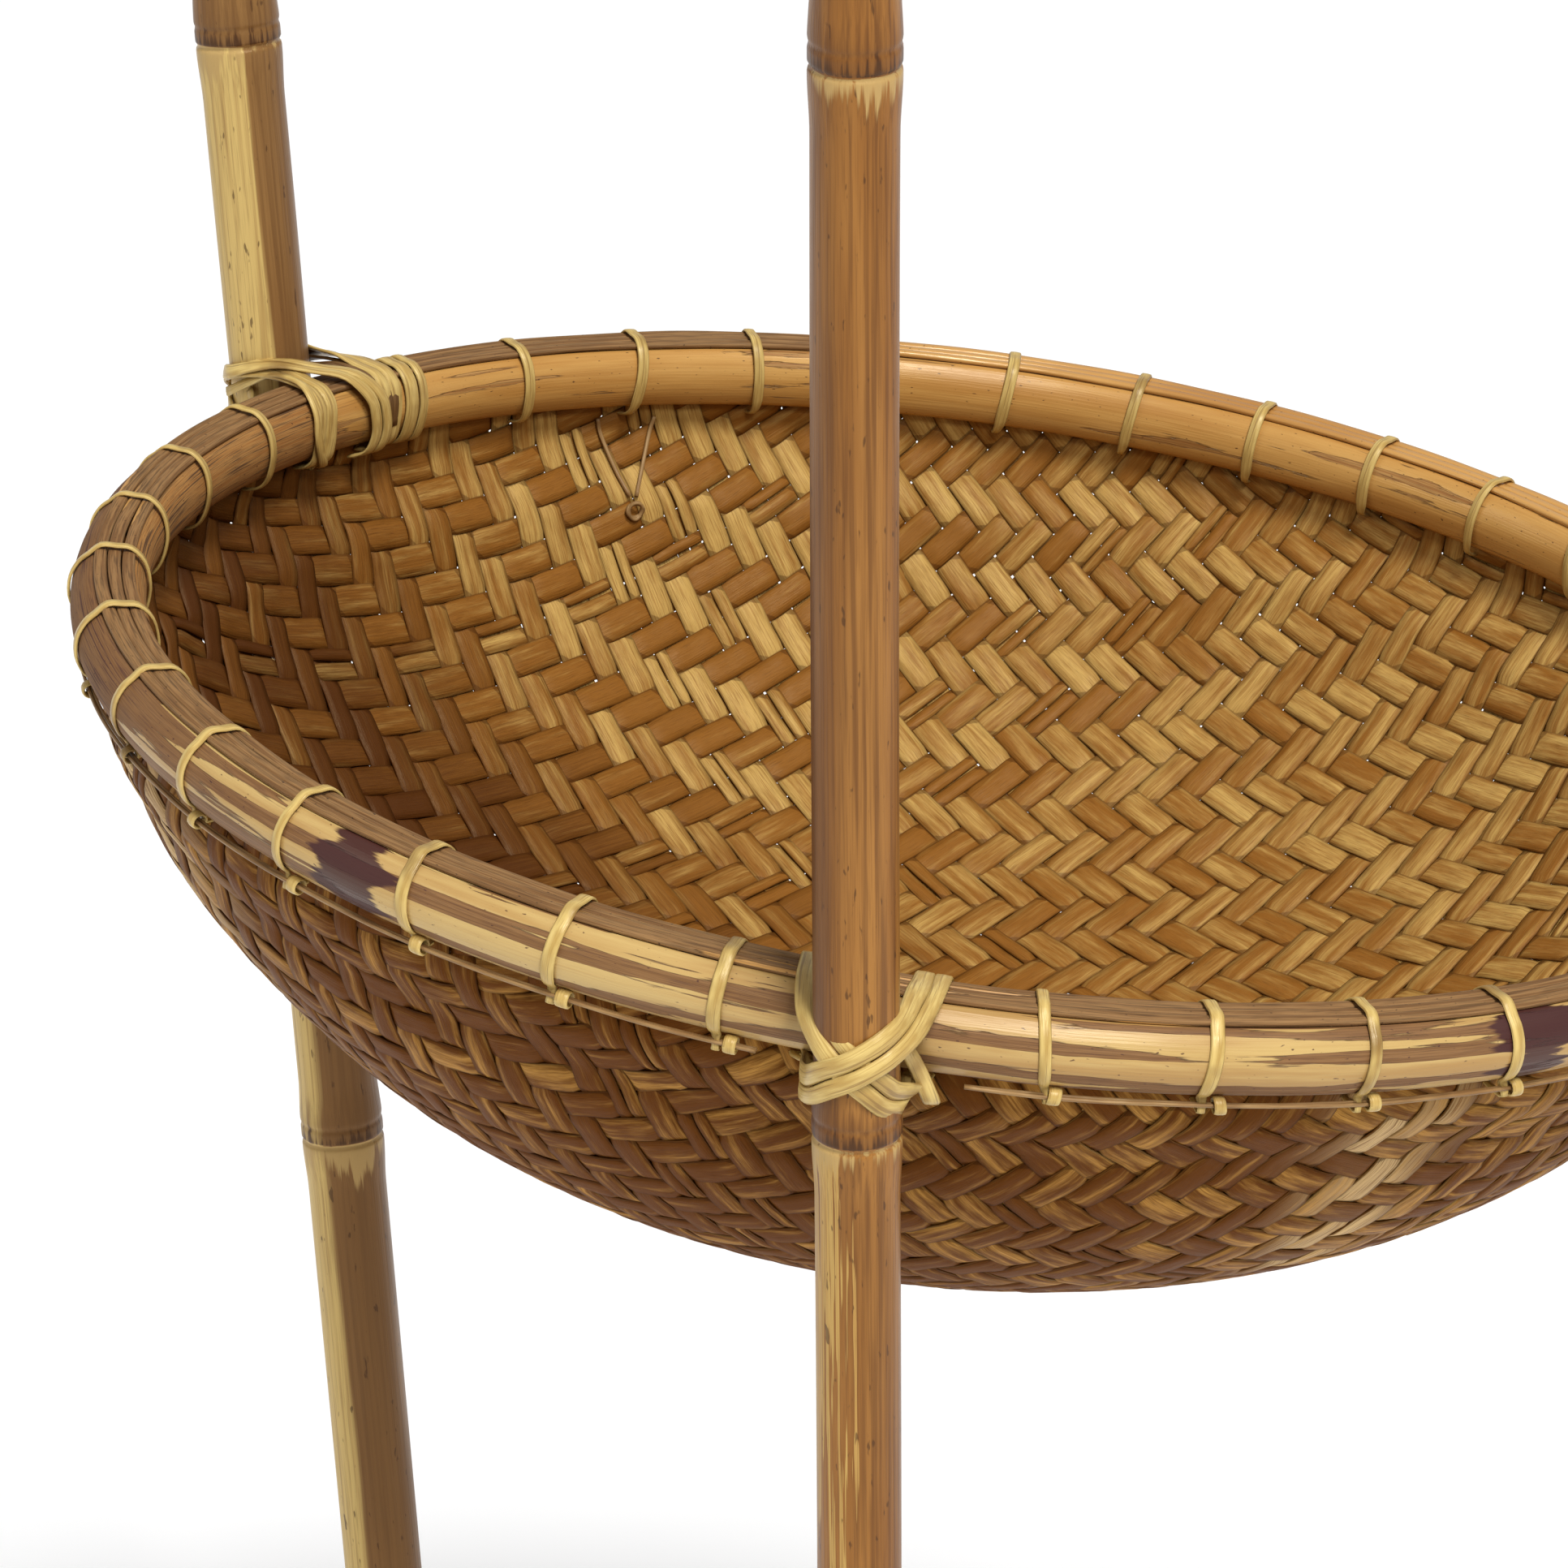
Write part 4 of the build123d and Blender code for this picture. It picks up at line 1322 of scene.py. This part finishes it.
    def lay(self, shape: Shape, rows: np.ndarray, section: np.ndarray,
            scale: np.ndarray | None = None) -> None:
        """Sweeps one open length of cane through its stations.

        Args:
            shape: What it is added to.
            rows: Rows of position and normal, along the rim, outwards and up.
            section: The cane's section.
            scale: Rows of (across, up) scale.
        """
        axes = self.basket.axes(self.pole.azimuth)
        heart = self.basket.ring(self.pole.azimuth, self.pole.hoop_arc_at, 0.0)
        points = smooth_path(rows[:, :3], 4, False)
        normals = smooth_path(rows[:, 3:], 4, False)
        shape.sweep(points @ axes + heart, normals @ axes, section, scale)

    def handed(self, stations: Sequence[Sequence[float]], shift: float = 0.0) -> np.ndarray:
        """Returns stations shifted along the rim, and mirrored at the rear left pole."""
        rows = np.array(stations)
        rows[:, 0] += shift
        rows[:, [0, 3]] *= -1.0 if self.pole.azimuth < 0.0 else 1.0
        return rows

    def bundle(self, nodes: Sequence[str]) -> None:
        """Lays the dark old strands that fill the corner between a rear pole and the rim.

        Args:
            nodes: The CAD nodes that the lashing stands for.
        """
        shape = Shape()
        for k in range(4):
            rows = np.array([
                (0.0135, 0.0330, 0.0040, 1.0, 0.2, 0.2), (0.0135, 0.0260, 0.0085, 0.8, 0.2, 0.5),
                (0.0125, 0.0180, 0.0120, 0.3, 0.3, 0.9), (0.0120, 0.0090, 0.0144, 0.1, 0.3, 1.0),
                (0.0122, 0.0000, 0.0150, 0.0, 0.0, 1.0), (0.0130, -0.0080, 0.0134, 0.0, -0.6, 0.8),
                (0.0142, -0.0126, 0.0060, 0.0, -1.0, 0.3), (0.0150, -0.0130, -0.0040, 0.0, -1.0, 0.0)])
            rows[:, 0] += (k - 1.5) * 0.0036 * np.array([0.1, 0.3, 0.8, 1.0, 1.0, 0.9, 0.8, 0.7])
            rows[:3, 2] += (k - 1.5) * 0.0016
            rows[2:6, 2] -= 0.0007
            self.lay(shape, self.handed(rows), round_section(0.0036, 0.0012, 8, 2.6))
        shape.make(f"lashing_{self.name}_old_cane", [self.old_cane.dress()], nodes)

    def overlays(self) -> list[tuple[np.ndarray, float]]:
        """Returns stations and widths of the turns that sweep across the rim, on a rear pole."""
        if self.pole.azimuth == 0.0:
            return []
        wide = ((-0.0040, 0.0405, 0.0030, -0.3, 1.0, 0.0), (-0.0115, 0.0370, 0.0065, -0.8, 0.7, 0.1),
                (-0.0160, 0.0300, 0.0098, -0.9, 0.2, 0.4), (-0.0158, 0.0215, 0.0140, -0.6, 0.1, 0.8),
                (-0.0122, 0.0125, 0.0168, -0.2, 0.1, 1.0), (-0.0060, 0.0030, 0.0166, 0.0, 0.0, 1.0),
                (0.0015, -0.0060, 0.0157, 0.0, -0.3, 1.0), (0.0072, -0.0128, 0.0095, 0.0, -1.0, 0.5),
                (0.0100, -0.0143, 0.0020, 0.0, -1.0, 0.0), (0.0110, -0.0143, -0.0050, 0.0, -1.0, -0.1),
                (0.0100, -0.0122, -0.0115, 0.0, -0.8, -0.6), (0.0080, -0.0060, -0.0148, 0.0, -0.2, -1.0))
        narrow = ((-0.0165, 0.0330, 0.0010, -1.0, 0.4, 0.1), (-0.0180, 0.0220, 0.0085, -0.8, 0.2, 0.5),
                  (-0.0188, 0.0120, 0.0140, -0.3, 0.2, 0.9), (-0.0200, 0.0020, 0.0160, 0.0, 0.0, 1.0),
                  (-0.0215, -0.0060, 0.0152, 0.0, -0.3, 1.0), (-0.0228, -0.0128, 0.0090, 0.0, -1.0, 0.4),
                  (-0.0228, -0.0145, 0.0020, 0.0, -1.0, 0.0), (-0.0205, -0.0145, -0.0050, 0.0, -1.0, -0.1),
                  (-0.0160, -0.0124, -0.0112, 0.0, -0.8, -0.6), (-0.0110, -0.0070, -0.0146, 0.0, -0.2, -1.0))
        return [(self.handed(wide, -0.0026), 0.0052), (self.handed(wide, 0.0028), 0.0046),
                (self.handed(narrow), 0.0036)]

    def tail(self) -> np.ndarray:
        """Returns stations of the short turn that is tucked under, low on the right."""
        rows = np.array([
            (0.0128, 0.0235, 0.0040, 0.7, 0.6, 0.3), (0.0146, 0.0200, 0.0000, 0.6, 0.8, 0.3),
            (0.0168, 0.0176, -0.0045, 0.5, 0.9, 0.2), (0.0192, 0.0160, -0.0095, 0.4, 0.95, 0.1),
            (0.0212, 0.0146, -0.0138, 0.3, 0.9, -0.1), (0.0220, 0.0122, -0.0168, 0.2, 0.6, -0.6),
            (0.0212, 0.0080, -0.0184, 0.0, 0.2, -1.0), (0.0196, 0.0030, -0.0180, 0.0, -0.1, -1.0)])
        rows[:2, :2] += self.pole.radius - self.drawn_for
        return rows

    def taper(self, count: int) -> np.ndarray:
        """Returns the scale of the tucked end, which is cut to a point."""
        share = np.linspace(0.0, 1.0, count)
        return np.stack([1.0 - 0.8 * ease(share, 0.72, 1.0), 1.0 - 0.5 * ease(share, 0.8, 1.0)], axis=1)


@dataclass
class MendingTie:
    """A thin doubled cane that hangs from the rim inside, its strands twisted into a ring."""

    bowl: WovenBowl
    cane: CaneSkin
    azimuth: float = -146.6
    spread: float = 4.6
    top: float = 0.019
    bottom: float = 0.046
    radius: float = 0.0008

    def wall(self, azimuth: np.ndarray, deep: np.ndarray, off: float) -> np.ndarray:
        """Returns points this far inside the bowl's wall.

        Args:
            azimuth: Degrees.
            deep: Depth under the rim's centre line.
            off: Distance from the middle of the wall.

        Returns:
            Rows of positions of the stand.
        """
        far, _, depths, _, _ = self.bowl.profile
        reach = np.interp(-deep, -depths, far)
        turn = np.radians(azimuth)
        flat = np.stack([np.sin(turn) * reach, -np.cos(turn) * reach], axis=1)
        return self.bowl.surface(flat, np.full(len(deep), off))

    def build(self) -> None:
        """Lays the two strands, their loose ends and the ring."""
        shape = Shape()
        wire = round_section(self.radius * 2, self.radius * 1.7, 6, 2.2)
        for side in (-1, 1):
            azimuth = self.azimuth + side * self.spread / 2 * np.array([1.0, 0.85, 0.45, 0.12])
            deep = np.array([self.top - 0.003, self.top + 0.004, self.top + 0.016, self.bottom - 0.004])
            points = smooth_path(self.wall(azimuth, deep, 0.0024), 5, False)
            inward = unit(np.array(self.bowl.basket.centre) - points)
            shape.sweep(points, inward, wire)
        knot = self.wall(np.array([self.azimuth]), np.array([self.bottom]), 0.0030)[0]
        axes = self.bowl.basket.axes(self.azimuth)
        turn = np.radians(np.linspace(0.0, 360.0, 19))
        for k, (wide, tall) in enumerate(((0.0031, 0.0026), (0.0025, 0.0032))):
            ring = np.outer(np.cos(turn) * wide, axes[0]) + np.outer(np.sin(turn) * tall, axes[2])
            ring = ring + np.outer(np.sin(turn * 2 + k) * 0.0004 - 0.0003 * k, axes[1])
            shape.sweep(knot + ring, ring, wire, closed=True)
        shape.make("mending_tie_cane", [self.cane.dress()], ["mending_tie"])


# ---------------------------------------------------------------- studio

@dataclass
class Studio:
    """Plain pale floor, soft lights and the camera."""

    basket: Basket
    distance: float = 2.2184
    right: float = 0.0630
    up: float = 0.0353
    azimuth: float = 8.0
    pitch: float = 21.6
    lens: float = 158.4
    sun_power: float = 2.5
    room_light: float = 0.36
    lamps: tuple[tuple[str, tuple[float, float, float], float, float], ...] = (
        ("key", (0.9, -2.0, 2.6), 24.0, 0.5), ("side", (-2.2, -1.0, 2.0), 8.0, 1.2))

    def floor(self) -> None:
        """Lays a wide matt floor."""
        bm = bmesh.new()
        bmesh.ops.create_grid(bm, x_segments=1, y_segments=1, size=16.0)
        mesh = bpy.data.meshes.new("floor")
        bm.to_mesh(mesh)
        bm.free()
        r = Recipe("floor_matt", Coordinates.OBJECT)
        grain = r.grain((3, 3, 3), detail=2)
        colour = r.blend(grain, (0.97, 0.97, 0.97), (0.99, 0.99, 0.99))
        mesh.materials.append(r.finish(colour, 0.9, grain, 0.0001, 0.1))
        floor = bpy.data.objects.new("floor", mesh)
        bpy.context.scene.collection.objects.link(floor)

    def light(self, name: str, spot: Sequence[float], power: float, size: float) -> None:
        """Hangs a square soft light that faces the basket.

        Args:
            name: Its name.
            spot: Where it hangs.
            power: In watts.
            size: Its side.
        """
        data = bpy.data.lights.new(name, "AREA")
        data.energy = power
        data.size = size
        lamp = bpy.data.objects.new(name, data)
        lamp.location = spot
        lamp.rotation_euler = (Vector(self.basket.centre) - Vector(spot)).to_track_quat("-Z", "Y").to_euler()
        bpy.context.scene.collection.objects.link(lamp)

    def sun(self) -> None:
        """Lights the room evenly from above, a little from the front right."""
        data = bpy.data.lights.new("sky", "SUN")
        data.energy = self.sun_power
        data.angle = math.radians(16.0)
        lamp = bpy.data.objects.new("sky", data)
        lamp.rotation_euler = Vector((-0.28, 0.42, -0.86)).to_track_quat("-Z", "Y").to_euler()
        bpy.context.scene.collection.objects.link(lamp)

    def camera(self) -> None:
        """Sets up the camera on its long lens."""
        turn, pitch = math.radians(self.azimuth), math.radians(self.pitch)
        right = Vector((math.cos(turn), math.sin(turn), 0.0))
        ahead = Vector((-math.sin(turn) * math.cos(pitch), math.cos(turn) * math.cos(pitch),
                        -math.sin(pitch)))
        up = right.cross(ahead)
        data = bpy.data.cameras.new("camera")
        data.lens = self.lens
        data.sensor_width = 36.0
        camera = bpy.data.objects.new("camera", data)
        camera.location = (Vector(self.basket.centre) - ahead * self.distance
                           - right * self.right - up * self.up)
        camera.rotation_euler = Matrix((right, up, -ahead)).transposed().to_euler()
        bpy.context.scene.collection.objects.link(camera)
        bpy.context.scene.camera = camera

    def world(self) -> None:
        """Fills the room with even white light."""
        world = bpy.data.worlds.new("room")
        world.use_nodes = True
        back = world.node_tree.nodes["Background"]
        back.inputs["Color"].default_value = (1.0, 1.0, 1.0, 1.0)
        back.inputs["Strength"].default_value = self.room_light
        bpy.context.scene.world = world
        bpy.context.scene.view_settings.view_transform = "Standard"

    def build(self) -> None:
        """Sets everything up."""
        self.camera()
        self.world()
        self.floor()
        self.sun()
        for lamp in self.lamps:
            self.light(*lamp)


def main() -> None:
    """Builds the stand piece by piece."""
    logging.basicConfig(level=logging.INFO, format="%(name)s %(message)s")
    low, high = (Vector(corner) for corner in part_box("outer_hoop"))
    basket = Basket(tuple((low + high) / 2))
    Studio(basket).build()
    brown = CulmSkin("culm_brown", (0.35, 0.155, 0.036), (0.250, 0.098, 0.020), (0.105, 0.036, 0.010),
                     (0.50, 0.31, 0.090), 0.90, 1.45)
    golden = CulmSkin("culm_golden", (0.29, 0.150, 0.048), (0.23, 0.110, 0.034), (0.15, 0.068, 0.022),
                      (0.60, 0.42, 0.145), 0.58, 0.07)
    tan = CulmSkin("culm_tan", (0.38, 0.21, 0.075), (0.29, 0.145, 0.048), (0.16, 0.070, 0.024),
                   (0.52, 0.34, 0.125), 0.80, 0.4)
    poles = {
        "front": Pole("pole_front", "culm_brown", 0.0, 4.0, 0.01225, (0.296, -0.0230, -0.380, -0.660), brown,
                      basket, 298.0, 262.0, ((-0.0230, 0.0), (-9.0, 1.0)), 0.0022, -0.0030, 31),
        "rear_left": Pole("pole_rear_left", "culm_golden", -120.0, 5.0, 0.01375, (0.129, -0.270, -0.610),
                          golden, basket, 60.0, 215.0, ((0.129, 0.0), (0.0, 1.0), (-9.0, 0.66)),
                          0.0010, 0.0012, 32),
        "rear_right": Pole("pole_rear_right", "culm_tan", 120.0, 5.0, 0.0130, (0.205, -0.160, -0.505),
                           tan, basket, 200.0, 90.0, ((-9.0, 1.0),), 0.0015, -0.0015, 33)}
    for pole in poles.values():
        pole.build()
    outer = HoopSkin("hoop_golden", (0.55, 0.375, 0.140), (0.41, 0.235, 0.075), (0.155, 0.064, 0.020),
                     ring=(0.045, 0.009, 0.012), dusty=(0.23, 0.110, 0.040))
    inner = HoopSkin("hoop_warm", (0.56, 0.305, 0.085), (0.45, 0.215, 0.050), (0.30, 0.122, 0.028),
                     dusty=(0.42, 0.220, 0.066), torn_from=0.60)
    splint = HoopSkin("splint_dark", (0.58, 0.310, 0.090), (0.42, 0.195, 0.050), (0.15, 0.066, 0.021),
                      ring=(0.030, 0.012, 0.006), dusty=(0.34, 0.185, 0.070))
    cane = CaneSkin("cane", (0.66, 0.480, 0.165), (0.45, 0.285, 0.080), (0.17, 0.080, 0.022), 0.30)
    thin = CaneSkin("cane_thin", (0.36, 0.215, 0.085), (0.24, 0.125, 0.045), (0.11, 0.048, 0.016))
    old = CaneSkin("cane_old", (0.20, 0.105, 0.036), (0.115, 0.052, 0.017), (0.045, 0.018, 0.007))
    Rim(basket, outer, inner, splint, cane, thin).build()
    inside = StripSkin("weave_inside", (0.53, 0.330, 0.095), (0.245, 0.096, 0.015), (0.060, 0.016, 0.003),
                       rough=0.40, gloss=0.20, stain_and_shade_share=1.0, tones=(0.10, 0.96), frayed=0.0)
    outside = StripSkin("weave_outside", (0.52, 0.265, 0.060), (0.125, 0.040, 0.006), (0.030, 0.008, 0.002),
                        rough=0.48, gloss=0.04, stain_and_shade_share=0.14, tones=(0.34, 1.05), frayed=1.0)
    bowl = WovenBowl(basket, inside, outside)
    bowl.build()
    for k, (name, pole) in enumerate(poles.items()):
        Lashing(name, pole, basket, cane, old, 40 + k).build()
    MendingTie(bowl, thin).build()


if __name__ == "__main__":
    main()
